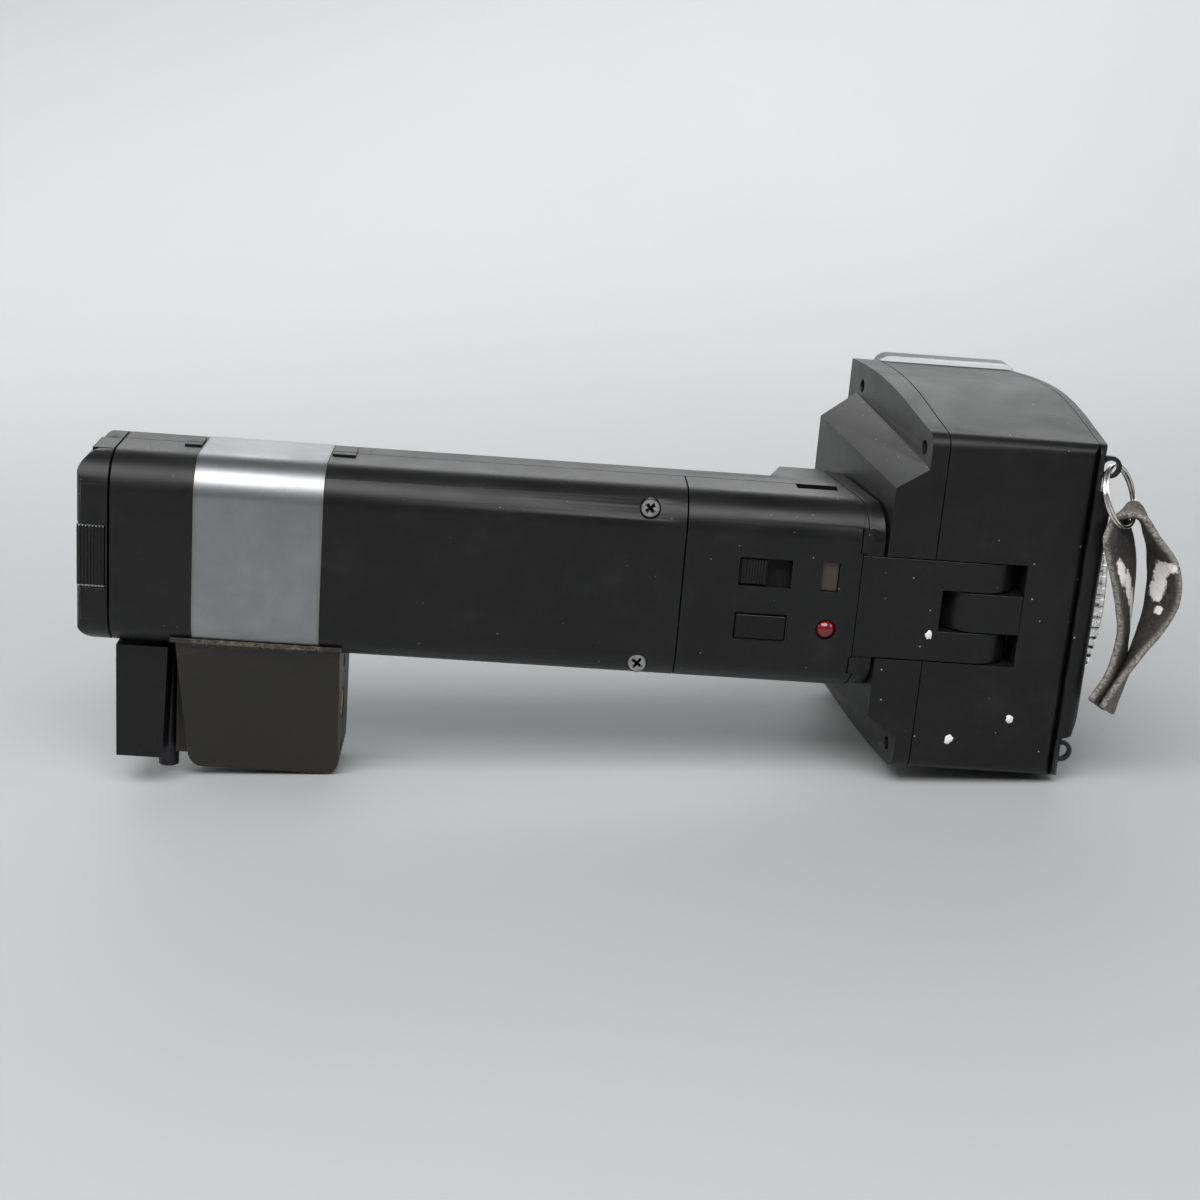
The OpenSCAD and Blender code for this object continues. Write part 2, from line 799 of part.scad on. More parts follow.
module head_top_cover() {
    color([0.065, 0.065, 0.07])
        difference() {
            union() {
                intersection() {
                    along_x(top_x0 - 14, top_x0 + 1) head_section();
                    difference() {
                        linear_extrude(4 * head_half_max, center = true) head_plan(200, 200, 0);
                        linear_extrude(4 * head_half_max, center = true)
                            translate([0, -0.001]) head_plan(190, 190, cover_t, 0.4, head_d + 0.5);
                    }
                }
                top_slab();
            }
            // Seat of the dial's pivot
            rod_x(slab_x - 3, slab_x + 1, dial_y, 0, 2.6);
        }
}

// Raised slab of the top cover, which carries the calculator
module top_slab() {
    intersection() {
        along_y(0, 74)
            polygon([[top_x0 - 4.4, -slab_half - 0.5], [top_x0 + 1.6, -slab_half + 1.3],
                [slab_x, -27.5], [slab_x, 27.5],
                [top_x0 + 1.6, slab_half - 1.3], [top_x0 - 4.4, slab_half + 0.5]]);
        linear_extrude(2 * head_half_max, center = true)
            polygon(concat([[top_x0 - slab_sink, 0]],
                [for (a = [0:15:90]) [slab_x - 3 + 3 * sin(a), 3 * (1 - cos(a))]],
                [[slab_x, 66]],
                [for (y = [74:-11:8]) [top_at(y) - slab_sink, y]]));
    }
}

module hinge_lug() {
    color([0.065, 0.065, 0.07])
        difference() {
            union() {
                rod_z(hinge_x, knuckle_r, lug_lo + run_gap, lug_hi - run_gap, knuckle_r + 0.3);
                box(hinge_x, hinge_x + lug_reach, 0.05, knuckle_r, lug_lo + run_gap, lug_hi - run_gap);
            }
            rod_z(hinge_x, knuckle_r, lug_lo - 1, lug_hi + 1, pin_r + 0.05);
            // Flush with the head's back face
            box(hinge_x - 12, hinge_x + 12, -2, 0.05, -10, 10);
        }
}

module flash_window() {
    color([0.85, 0.88, 0.88, 0.35])
        difference() {
            along_y(head_d - 2.6, head_d + 4.4)
                translate([232.2, 1.7]) rounded_rect(41, 99, 4);
            difference() {
                along_x(190, 280) head_section(-0.12, head_d + 0.05);
                box(190, 280, head_d + 0.05, head_d + 10, -60, 60);
            }
        }
}

// Trough reflector: wall of constant thickness round a tapered trough
module reflector() {
    t = 0.8;
    xm = 231.5;
    half = [[5, 52], [9.5, 56], [13, 64], [15.2, 78.8]];
    color([0.82, 0.83, 0.85])
        difference() {
            linear_extrude(86, center = true)
                polygon(concat([for (p = half) [xm + p[0] + t, p[1]]],
                    [for (k = [3:-1:0]) [xm - half[k][0] - t, half[k][1]]],
                    [[xm - 5, 52 - t], [xm + 5, 52 - t]]));
            linear_extrude(84.4, center = true)
                polygon(concat([for (p = half) [xm + p[0], p[1] + (p[1] > 78 ? 1 : 0)]],
                    [for (k = [3:-1:0]) [xm - half[k][0], half[k][1] + (half[k][1] > 78 ? 1 : 0)]]));
        }
}

module flash_tube() {
    color([0.85, 0.87, 0.9, 0.4])
        union() {
            rod_z(231.5, 57.5, -36, 36, 2.5);
            rod_z(231.5, 57.5, -42, 42, 1.3);
        }
}

module trigger_coil() {
    color([0.5, 0.35, 0.15])
        union() {
            rod_z(240, 36, 18, 34, 4.6);
            rod_z(240, 36, 16, 18.2, 6);
            rod_z(240, 36, 33.8, 36, 6);
        }
}

// Sync socket: a metal ring with a small contact hole in its floor, in the front shell
module sync_socket() {
    color([0.6, 0.6, 0.6])
        translate([sync_x, grip_d - 5, sync_z])
            rotate([-90, 0, 0])
                difference() {
                    cylinder(h = 5.4, r = 3.2);
                    translate([0, 0, 1]) cylinder(h = 5, r = 1.75);
                    translate([0, 0, -1]) cylinder(h = 3, r = 0.6);
                }
}

module dial_scale() {
    color([0.78, 0.78, 0.75])
        difference() {
            rod_x(slab_x, slab_x + 0.8, dial_y, 0, dial_r - 2);
            rod_x(slab_x - 1, slab_x + 1, dial_y, 0, 2.6);
        }
}

module calculator_dial() {
    color([0.7, 0.72, 0.72, 0.5])
        translate([0, dial_y, 0])
            rotate([0, 90, 0])
                difference() {
                    union() {
                        translate([0, 0, dial_x0]) cylinder(h = dial_x1 - dial_x0, r = dial_r - 0.5);
                        translate([0, 0, dial_x1])
                            cylinder(h = dial_x2 - dial_x1, r1 = dial_r - 0.8, r2 = dial_top_r);
                        for (k = [0:dial_ridges - 1])
                            rotate([0, 0, 360 / dial_ridges * k])
                                translate([dial_r - 0.6, 0, dial_x0])
                                    cylinder(h = dial_x1 - dial_x0, r = 0.75, $fn = 16);
                        translate([0, 0, slab_x - 2.6]) cylinder(h = 4, r = 2.5);
                    }
                    translate([0, 0, dial_x2 - 0.9]) cylinder(h = 2, r = dial_top_r - 2);
                }
}

// Two eyelets on the edge of the head, open along y
module strap_lugs() {
    color([0.07, 0.07, 0.075])
        for (p = [[lug_x, lug_z], [low_lug_x, low_lug_z]])
            difference() {
                union() {
                    rod_y(p[0], lug_y - lug_t / 2, lug_y + lug_t / 2, p[1], lug_r);
                    box(top_x0, p[0], lug_y - lug_t / 2, lug_y + lug_t / 2, p[1] - lug_r, p[1] + lug_r);
                }
                rod_y(p[0], lug_y - 2, lug_y + 2, p[1], lug_hole_r);
                box(top_x0 - 6, top_x0 + 0.02, lug_y - 2, lug_y + 2, -50, 50);
            }
}

// Frame of the ring: centred on the upper eyelet, -z towards the ring's low point
module ring_frame() {
    translate([lug_x, lug_y, lug_z - ring_sag])
        rotate([0, ring_drop - 90, 0])
            children();
}

module split_ring() {
    color([0.75, 0.74, 0.72])
        ring_frame()
            rotate([0, 0, ring_twist])
                translate([0, 0, -ring_r])
                    rotate([0, 90, 0])
                        rotate_extrude()
                            translate([ring_r, 0])
                                for (s = [-1, 1])
                                    translate([0, s * ring_wire * 0.46]) circle(ring_wire / 2, $fn = 24);
}

// Ply of the strap between two stations, each given as x near, z near, x far, z far
module strap_ply(a, b) {
    hull()
        for (p = [a, b]) {
            translate([p[0], strap_near_y, p[1]]) sphere(strap_t / 2, $fn = 12);
            translate([p[2], strap_far_y, p[3]]) sphere(strap_t / 2, $fn = 12);
        }
}

// Folded strap, open like a book towards the back, and glued below
module leather_strap() {
    inner = [[260.4, 25, 271.2, 21.2], [264.1, 10.6, 272.6, 11], [267.6, -5, 272.9, -6],
        [266.3, -12.8, 273.8, -12.6], [262.5, -21.2, 269.8, -27.4]];
    outer = [[268.4, 28.6, 272.3, 21.6], [278.6, 18.2, 274.8, 18],
        [281, 6, 276.2, 6], [271.6, -9.4, 274, -9.8]];
    color([0.16, 0.15, 0.14])
        union() {
            for (k = [0:3])
                strap_ply(inner[k], inner[k + 1]);
            for (k = [0:2])
                strap_ply(outer[k], outer[k + 1]);
        }
}

place() grip_rear_shell();
place() grip_front_shell();
place() control_cover();
place() neck_collar();
place() clamp_band();
place() seam_catches();
place() grip_screws();
place() hinge_arm();
place() hinge_pin();
place() foot_block();
place() foot_lip();
place() bracket_insert();
place() release_pin();
place() release_lever();
place() battery_cap();
place() cap_latch();
place() cap_side_tab();
place() battery_holder();
place() battery_cells();
place() contact_strips();
place() main_capacitor();
place() power_board();
place() inverter_transformer();
place() control_board();
place() power_switch_body();
place() power_slider();
place() test_button();
place() ready_lamp();
place() indicator_window();
place() seam_slot_plate();
place() sensor_lens();
place() sensor_cell();
place() sync_socket();
place() head_rear_shell();
place() head_main_shell();
place() head_top_cover();
place() hinge_lug();
place() rim_screws();
place() flash_window();
place() reflector();
place() flash_tube();
place() trigger_coil();
place() dial_scale();
place() calculator_dial();
place() strap_lugs();
place() split_ring();
place() leather_strap();
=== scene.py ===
"""Looks of the handle mount flash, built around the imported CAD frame."""
import json
import math

import bmesh
import bpy
from mathutils import Matrix, Vector, noise

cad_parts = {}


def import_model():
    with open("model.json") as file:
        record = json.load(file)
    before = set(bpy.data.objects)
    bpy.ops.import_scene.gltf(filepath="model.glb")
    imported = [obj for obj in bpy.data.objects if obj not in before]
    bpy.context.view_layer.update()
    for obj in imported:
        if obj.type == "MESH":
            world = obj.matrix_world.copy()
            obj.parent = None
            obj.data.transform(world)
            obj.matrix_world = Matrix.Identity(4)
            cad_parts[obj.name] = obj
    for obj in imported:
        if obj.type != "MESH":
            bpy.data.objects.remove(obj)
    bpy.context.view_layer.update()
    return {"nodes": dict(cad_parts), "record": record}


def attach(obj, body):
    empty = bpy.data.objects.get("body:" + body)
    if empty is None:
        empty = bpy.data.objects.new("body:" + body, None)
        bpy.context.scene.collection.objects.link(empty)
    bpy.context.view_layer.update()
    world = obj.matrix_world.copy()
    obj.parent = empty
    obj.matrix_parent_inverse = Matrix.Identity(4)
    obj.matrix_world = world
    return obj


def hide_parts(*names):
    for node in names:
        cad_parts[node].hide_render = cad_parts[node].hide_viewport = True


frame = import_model()
NODES = frame["nodes"]

MM = 0.001
TAU = 2 * math.pi

# Working frame of the flash, as in the CAD source: x along the grip from the cap's end,
# y from the back to the front, z across. The flash lies tilted by this much.
FOOT_DROP, HEAD_HALF = 62.6, 47.4
FOOT_EDGE_X, HEAD_EDGE_X = 62.59, 258.48
TILT = math.atan((FOOT_DROP - HEAD_HALF) / (HEAD_EDGE_X - FOOT_EDGE_X))
ORIGIN_X, ORIGIN_Y = 140.4, 38.77
LIFT = (FOOT_EDGE_X - ORIGIN_X) * math.sin(TILT) + FOOT_DROP * math.cos(TILT)

# Camera, from the photograph: its place from the grip's end plane, and where it looks
GRIP_END_TO_MIDDLE = 133.3
CAMERA_FROM_GRIP = Vector((-13.73, -482.32, 148.31))
CAMERA_LOOK = Vector((0.0271, 0.9533, -0.3007))
CAMERA_LENS = 59.06

# Directions along and across the grip in the row frame
ALONG = Vector((math.cos(TILT), 0, -math.sin(TILT)))
ACROSS = Vector((math.sin(TILT), 0, math.cos(TILT)))

# Places that materials are drawn to, in millimetres of the working frame
LATCH_TOP, LATCH_LOW = 7.0, -9.0
LATCH_RIB_X, LATCH_RIB_PITCH = 0.9, 0.85
SCREW, SCREW_APART = (144.6, 1.8, 0.0), 20.9
BAND_X, BAND_HALF = 45.65, 16.25
LIP_DIRT_Z = -24.0
PLATE_TOP, DIAL_Y = 263.38, 38.3
PLATE_X = 262.5


def row(x, y, z):
    """A point of the working frame, in millimetres, as a row point in metres."""
    dx = x - ORIGIN_X
    return MM * Vector((
        dx * math.cos(TILT) + z * math.sin(TILT),
        y - ORIGIN_Y,
        -dx * math.sin(TILT) + z * math.cos(TILT) + LIFT,
    ))


def row_matrix():
    """Working frame in millimetres to the row frame in metres."""
    turn = Matrix.Rotation(TILT, 4, "Y")
    shift = Matrix.Translation((-ORIGIN_X, -ORIGIN_Y, 0))
    lift = Matrix.Translation((0, 0, LIFT))
    return Matrix.Scale(MM, 4) @ lift @ turn @ shift


ROW = row_matrix()


# Node helpers. The Mix node's colour sockets share names with others, so they go by index.
MIX_FACTOR, MIX_A, MIX_B, MIX_RESULT = 0, 6, 7, 2


class Graph:
    """A small wrapper that adds shader nodes to one material."""

    def __init__(self, name):
        self.material = bpy.data.materials.new(name)
        self.material.use_nodes = True
        self.tree = self.material.node_tree
        self.shader = self.tree.nodes["Principled BSDF"]
        self.coords = self.tree.nodes.new("ShaderNodeTexCoord")

    def node(self, kind, inputs=None, **settings):
        """Adds a node with its settings and with values or links on its inputs."""
        made = self.tree.nodes.new(kind)
        for key, value in settings.items():
            setattr(made, key, value)
        for key, value in (inputs or {}).items():
            self.feed(made.inputs[key], value)
        return made

    def feed(self, socket, value):
        """Links an output to a socket, or sets the socket to a plain value."""
        if isinstance(value, bpy.types.NodeSocket):
            self.tree.links.new(value, socket)
        else:
            socket.default_value = value

    def set(self, **values):
        """Feeds the shader's own sockets, spaces written as underscores."""
        for key, value in values.items():
            self.feed(self.shader.inputs[key.replace("_", " ")], value)

    def place(self, scale=(1, 1, 1), turn=(0, 0, 0)):
        made = self.node("ShaderNodeMapping", {
            "Vector": self.coords.outputs["Object"], "Scale": scale, "Rotation": turn})
        return made.outputs["Vector"]

    def noise(self, scale, detail=4, roughness=0.55, vector=None, distortion=0):
        made = self.node("ShaderNodeTexNoise", {
            "Vector": vector or self.coords.outputs["Object"], "Scale": scale,
            "Detail": detail, "Roughness": roughness, "Distortion": distortion})
        return made.outputs["Fac"]

    def cells(self, scale, vector=None, feature="F1"):
        made = self.node("ShaderNodeTexVoronoi", {
            "Vector": vector or self.coords.outputs["Object"], "Scale": scale}, feature=feature)
        return made

    def ramp(self, value, low, high, to_low=0.0, to_high=1.0):
        """Maps low..high to to_low..to_high and holds it at the ends."""
        made = self.node("ShaderNodeMapRange", {
            "Value": value, "From Min": low, "From Max": high,
            "To Min": to_low, "To Max": to_high}, clamp=True)
        return made.outputs["Result"]

    def math(self, operation, a, b=0.0):
        made = self.node("ShaderNodeMath", operation=operation)
        self.feed(made.inputs[0], a)
        self.feed(made.inputs[1], b)
        return made.outputs[0]

    def mix(self, factor, a, b):
        made = self.node("ShaderNodeMix", data_type="RGBA")
        self.feed(made.inputs[MIX_FACTOR], factor)
        self.feed(made.inputs[MIX_A], rgb(a))
        self.feed(made.inputs[MIX_B], rgb(b))
        return made.outputs[MIX_RESULT]

    def bump(self, height, strength, distance, normal=None):
        made = self.node("ShaderNodeBump", {
            "Height": height, "Strength": strength, "Distance": distance})
        if normal is not None:
            self.feed(made.inputs["Normal"], normal)
        return made.outputs["Normal"]

    def edges(self, radius, low=0.03, high=0.3):
        """Near 1 on worn edges: where the rounded normal leaves the true one."""
        bevel = self.node("ShaderNodeBevel", {"Radius": radius}, samples=4)
        geometry = self.node("ShaderNodeNewGeometry")
        dot = self.node("ShaderNodeVectorMath", {
            0: bevel.outputs["Normal"], 1: geometry.outputs["Normal"]}, operation="DOT_PRODUCT")
        return self.ramp(self.math("SUBTRACT", 1.0, dot.outputs["Value"]), low, high)

    def band(self, coordinate, centre, half, soft):
        """1 where the coordinate is within half of the centre, easing to 0 over soft."""
        away = self.math("ABSOLUTE", self.math("SUBTRACT", coordinate, centre))
        return self.ramp(away, half, half + soft, 1.0, 0.0)

    def along(self, direction, origin=(0, 0, 0)):
        """Distance in metres from origin along a direction, in the row frame."""
        shifted = self.node("ShaderNodeVectorMath", {
            0: self.coords.outputs["Object"], 1: tuple(origin)}, operation="SUBTRACT")
        dot = self.node("ShaderNodeVectorMath", {
            0: shifted.outputs["Vector"], 1: tuple(direction)}, operation="DOT_PRODUCT")
        return dot.outputs["Value"]


def rgb(value):
    return value if isinstance(value, bpy.types.NodeSocket) or len(value) == 4 else (*value, 1.0)


# Colours of wear and dirt on the black plastics
WORN_BLACK, WORN_SMOOTH = (0.11, 0.11, 0.112), (0.09, 0.09, 0.09)
DUST, FINE_DUST = (0.5, 0.49, 0.47), (0.42, 0.41, 0.4)
DUST_FILM, DUST_WARM = (0.3, 0.3, 0.29), (0.28, 0.27, 0.25)


def black_plastic(name, base=0.0055, rough=0.35, grain=0.3, dust=1.0, tint=(1, 1, 1.04), wear=1.0):
    """Satin moulded plastic: fine spark grain, smudges, dust specks and worn edges."""
    g = Graph(name)
    grain_fine = g.noise(5200, 3, 0.6)
    grain_cells = g.cells(3400).outputs["Distance"]
    smudge = g.noise(38, 5, 0.6, distortion=0.6)
    cloud = g.noise(9, 3)
    dark = tuple(base * c for c in tint)
    lighter = tuple(base * 1.7 * c for c in tint)
    colour = g.mix(g.ramp(smudge, 0.35, 0.75), dark, lighter)
    worn = g.math("MULTIPLY", g.edges(0.0005), g.ramp(g.noise(160, 5), 0.5, 0.72))
    colour = g.mix(g.math("MULTIPLY", worn, 0.5 * wear), colour, WORN_BLACK)
    speck_cells = g.cells(420)
    chosen = g.ramp(g.node("ShaderNodeSeparateColor", {
        "Color": speck_cells.outputs["Color"]}).outputs[0], 0.86, 0.9)
    speck = g.math("MULTIPLY", chosen, g.ramp(speck_cells.outputs["Distance"], 0.05, 0.11, 1.0, 0.0))
    speck = g.math("MULTIPLY", speck, g.ramp(cloud, 0.42, 0.6))
    colour = g.mix(g.math("MULTIPLY", speck, 0.7 * dust), colour, DUST)
    fine_cells = g.cells(760)
    fine = g.ramp(g.node("ShaderNodeSeparateColor", {
        "Color": fine_cells.outputs["Color"]}).outputs[1], 0.93, 0.95)
    fine = g.math("MULTIPLY", fine, g.ramp(fine_cells.outputs["Distance"], 0.06, 0.14, 1.0, 0.0))
    colour = g.mix(g.math("MULTIPLY", fine, 0.45 * dust), colour, FINE_DUST)
    film = g.math("MULTIPLY", g.ramp(g.noise(70, 8, 0.75), 0.52, 0.85), 0.025 * dust)
    colour = g.mix(film, colour, DUST_FILM)
    roughness = g.ramp(smudge, 0.3, 0.75, rough - 0.05, rough + 0.1)
    height = g.math("ADD", g.math("MULTIPLY", grain_fine, 0.7), g.math("MULTIPLY", grain_cells, 0.5))
    normal = g.bump(height, grain, 0.00006)
    scratch = scratches(g)
    roughness = g.math("ADD", roughness, g.math("MULTIPLY", scratch, 0.2))
    g.set(Base_Color=colour, Roughness=roughness, Normal=normal, Specular_IOR_Level=0.3)
    return g


def scratches(g, scale=55, thin=0.012):
    """Sparse hairline scratches in a few directions, as a mask."""
    total = None
    for turn in ((0.3, 0.2, 0.5), (1.2, 0.7, 2.1)):
        vector = g.place((1, 0.06, 0.3), turn)
        web = g.node("ShaderNodeTexVoronoi", {
            "Vector": vector, "Scale": scale * 4}, feature="DISTANCE_TO_EDGE")
        line = g.ramp(web.outputs["Distance"], 0.0, thin, 1.0, 0.0)
        line = g.math("MULTIPLY", line, g.ramp(g.noise(scale * 0.6, 3, vector=vector), 0.58, 0.66))
        total = line if total is None else g.math("MAXIMUM", total, line)
    return total


def smooth_plastic(name, base=0.006, rough=0.24):
    g = Graph(name)
    smudge = g.noise(60, 5, 0.65, distortion=0.8)
    worn = g.math("MULTIPLY", g.edges(0.0003), g.ramp(g.noise(300, 4), 0.45, 0.7))
    colour = g.mix(g.math("MULTIPLY", worn, 0.5), (base, base, base * 1.05), WORN_SMOOTH)
    dusty = g.ramp(g.noise(900, 6, 0.8), 0.62, 0.75, 0.0, 0.16)
    colour = g.mix(dusty, colour, DUST_WARM)
    rough_map = g.ramp(smudge, 0.3, 0.7, rough, rough + 0.16)
    normal = g.bump(g.noise(2600, 3), 0.1, 0.00004)
    g.set(Base_Color=colour, Roughness=rough_map, Normal=normal, Specular_IOR_Level=0.3)
    return g.material


def latch_plastic(name):
    """Black latch with painted glints: pale lines along its two ends, the upper one wavy along the ribs.
    """
    g = Graph(name)
    up = g.along(ACROSS, row(0, 0, 0))
    along = g.along(ALONG, row(LATCH_RIB_X, 0, 0))
    turned = g.math("MULTIPLY", along, TAU / (LATCH_RIB_PITCH * MM))
    wave = g.math("MULTIPLY", g.math("COSINE", turned), 0.16 * MM)
    ends = g.math("MAXIMUM", g.band(g.math("ADD", up, wave), LATCH_TOP * MM, 0.16 * MM, 0.08 * MM),
                  g.band(up, LATCH_LOW * MM, 0.14 * MM, 0.08 * MM))
    # Painted glints: pale lines along both ends of the latch, the upper one wavy with the ribs
    wear_and_glint = g.math("MULTIPLY", ends, g.ramp(g.noise(900, 4), 0.3, 0.5, 0.5, 1.0))
    dusty = g.ramp(g.noise(1600, 6, 0.8), 0.6, 0.75, 0.0, 0.2)
    colour = g.mix(dusty, (0.011, 0.011, 0.0115), (0.25, 0.24, 0.22))
    # Mixes the painted glint lines in as pale grey
    colour = g.mix(wear_and_glint, colour, (0.28, 0.28, 0.28))
    g.set(Base_Color=colour, Roughness=g.ramp(g.noise(60, 5), 0.3, 0.7, 0.26, 0.42),
          Normal=g.bump(g.noise(2600, 3), 0.1, 0.00004), Specular_IOR_Level=0.3)
    return g.material


def foot_plastic(name):
    """Matt black gone a little brown, with dirt under the lip and rubbed lower edges."""
    g = Graph(name)
    height = g.along(ACROSS, row(BAND_X, 0, LIP_DIRT_Z))
    patchy = g.noise(26, 6, 0.65, distortion=0.5)
    colour = g.mix(g.ramp(patchy, 0.3, 0.7), (0.018, 0.0168, 0.0158), (0.03, 0.0273, 0.025))
    dirt = g.math("MULTIPLY", g.ramp(height, -0.0006, 0.0012), g.ramp(g.noise(900, 7, 0.85), 0.46, 0.58))
    beside = g.along(ALONG, row(BAND_X, 0, 0))
    beyond = g.ramp(
        g.math("ABSOLUTE", beside), (BAND_HALF - 0.05) * MM, (BAND_HALF + 1.55) * MM, 1.0, 0.12)
    dirt = g.math("MULTIPLY", dirt, beyond)
    colour = g.mix(g.math("MULTIPLY", dirt, 0.85), colour, (0.2, 0.16, 0.115))
    wear_and_glint = g.math("MULTIPLY", g.edges(0.0009), g.ramp(g.noise(120, 5), 0.42, 0.66))
    colour = g.mix(g.math("MULTIPLY", wear_and_glint, 0.7), colour, (0.1, 0.095, 0.088))
    marks = scratches(g, 46, 0.014)
    colour = g.mix(g.math("MULTIPLY", marks, 0.3), colour, (0.12, 0.11, 0.1))
    dust = g.ramp(g.noise(2400, 4, 0.85), 0.66, 0.74, 0.0, 0.35)
    colour = g.mix(dust, colour, (0.32, 0.3, 0.27))
    grain = g.math("ADD", g.noise(3800, 3), g.math("MULTIPLY", g.noise(900, 3), 0.5))
    normal = g.bump(grain, 0.32, 0.00007)
    g.set(Base_Color=colour, Roughness=g.ramp(patchy, 0.3, 0.7, 0.42, 0.58), Normal=normal,
          Specular_IOR_Level=0.3)
    return g.material


def band_metal(name):
    """Fine satin aluminium with faint draw lines round the grip, smudges and edge dirt."""
    g = Graph(name)
    lines = g.noise(900, 3, 0.6, vector=g.place((5, 0.16, 0.16), (0, TILT, 0)))
    smudge = g.noise(30, 6, 0.65, distortion=0.7)
    pits = g.cells(1500).outputs["Distance"]
    along = g.along(ALONG, row(BAND_X, 0, 0))
    rim = g.ramp(g.math("ABSOLUTE", along), (BAND_HALF - 1.05) * MM, (BAND_HALF + 0.05) * MM)
    colour = g.mix(g.ramp(smudge, 0.3, 0.75), (0.34, 0.345, 0.355), (0.25, 0.255, 0.265))
    stain = g.math("MULTIPLY", g.ramp(g.noise(150, 6, 0.75), 0.55, 0.75), 0.25)
    colour = g.mix(stain, colour, (0.17, 0.165, 0.155))
    colour = g.mix(g.math("MULTIPLY", rim, 0.5), colour, (0.2, 0.18, 0.15))
    rough = g.math("ADD", g.ramp(smudge, 0.3, 0.75, 0.33, 0.45),
                   g.math("MULTIPLY", scratches(g, 60, 0.01), 0.2))
    height = g.math("ADD", g.math("MULTIPLY", lines, 0.6), g.math("MULTIPLY", pits, 0.4))
    g.set(Base_Color=colour, Metallic=1.0, Roughness=rough, Normal=g.bump(height, 0.25, 0.00004))
    return g.material


def bright_metal(name, base=(0.74, 0.73, 0.7), rough=0.16, dirt=(0.12, 0.1, 0.07)):
    g = Graph(name)
    grime = g.ramp(g.noise(520, 6, 0.75), 0.52, 0.74, 0.0, 0.6)
    colour = g.mix(grime, base, dirt)
    rough_map = g.ramp(g.noise(260, 5), 0.3, 0.75, rough, rough + 0.22)
    g.set(Base_Color=colour, Metallic=1.0, Roughness=rough_map,
          Normal=g.bump(g.noise(1500, 4), 0.15, 0.00004))
    return g.material


def screw_metal(name):
    """Plated screw heads: painted shade in the cross recess and in a ring at the rim where the head sits
    in its recess, a bright crown and patchy grime.
    """
    g = Graph(name)
    across = g.math("ABSOLUTE", g.along(ACROSS, row(*SCREW)))
    across = g.math("SUBTRACT", across, SCREW_APART * MM)
    along = g.along(ALONG, row(*SCREW))
    # The cross turned by about 37 degrees: cosine 0.8, sine 0.6
    u = g.math("ADD", g.math("MULTIPLY", along, 0.8), g.math("MULTIPLY", across, 0.6))
    v = g.math("SUBTRACT", g.math("MULTIPLY", across, 0.8), g.math("MULTIPLY", along, 0.6))
    thin, reach, soft = 0.32 * MM, 1.35 * MM, 0.1 * MM
    # The cross recess, used for its painted shade and for its bump
    arm_u = g.math("MULTIPLY", g.band(u, 0.0, thin, soft), g.band(v, 0.0, reach, soft))
    arm_v = g.math("MULTIPLY", g.band(v, 0.0, thin, soft), g.band(u, 0.0, reach, soft))
    cross = g.math("MAXIMUM", arm_u, arm_v)
    radius = g.math("SQRT", g.math("ADD", g.math("MULTIPLY", u, u), g.math("MULTIPLY", v, v)))
    # Painted shade: a dark ring at the rim, where the head sits in its recess
    rim = g.ramp(radius, 2.1 * MM, 2.4 * MM)
    grime = g.ramp(g.noise(900, 6, 0.75), 0.5, 0.7, 0.0, 0.6)
    colour = g.mix(grime, (0.42, 0.42, 0.41), (0.08, 0.075, 0.07))
    # Painted shade, near black, in the cross recess and in the ring at the rim
    colour = g.mix(g.math("MAXIMUM", cross, g.math("MULTIPLY", rim, 0.85)), colour, (0.006, 0.006, 0.006))
    height = g.math("SUBTRACT", g.noise(1500, 4), g.math("MULTIPLY", cross, 3.0))
    g.set(Base_Color=colour, Metallic=1.0, Roughness=g.ramp(g.noise(500, 5), 0.3, 0.75, 0.22, 0.4),
          Normal=g.bump(height, 0.4, 0.0001))
    return g.material


def leather(name):
    """Grey black leather: pebbled grain, pale cut edges, and torn white patches of old glue."""
    g = Graph(name)
    attribute = g.node("ShaderNodeAttribute", attribute_name="edge").outputs["Fac"]
    inner = g.node("ShaderNodeAttribute", attribute_name="inner").outputs["Fac"]
    patch = g.node("ShaderNodeAttribute", attribute_name="patch").outputs["Fac"]
    pebbles = g.cells(950, feature="SMOOTH_F1").outputs["Distance"]
    creases = g.noise(320, 8, 0.7, distortion=1.2)
    fibre = g.noise(1300, 6, 0.8)
    face = g.mix(g.ramp(creases, 0.35, 0.68), (0.05, 0.047, 0.044), (0.19, 0.18, 0.168))
    pores = g.ramp(g.noise(1500, 4, 0.8), 0.5, 0.64, 0.0, 0.8)
    face = g.mix(pores, face, (0.03, 0.028, 0.026))
    flesh = g.mix(g.ramp(fibre, 0.4, 0.6), (0.045, 0.042, 0.04), (0.4, 0.38, 0.35))
    colour = g.mix(attribute, face, flesh)
    suede = g.mix(g.ramp(creases, 0.3, 0.7), (0.009, 0.0085, 0.008), (0.06, 0.056, 0.052))
    colour = g.mix(g.math("MULTIPLY", inner, g.ramp(attribute, 0, 1, 1.0, 0.2)), colour, suede)
    torn = g.math("ADD", patch, g.math("MULTIPLY", g.math("SUBTRACT", g.noise(620, 9, 0.85), 0.5), 2.4))
    glue = g.ramp(torn, 0.47, 0.53)
    glue_tone = g.mix(g.ramp(g.noise(1200, 4), 0.35, 0.7), (0.86, 0.82, 0.79), (0.95, 0.94, 0.93))
    colour = g.mix(glue, colour, glue_tone)
    height = g.math("ADD", g.math("MULTIPLY", pebbles, 0.6), g.math("MULTIPLY", fibre, 0.45))
    height = g.math("ADD", height, g.math("MULTIPLY", glue, 0.9))
    g.set(Base_Color=colour, Roughness=g.ramp(creases, 0.3, 0.7, 0.55, 0.8),
          Normal=g.bump(height, 0.9, 0.00045))
    return g.material


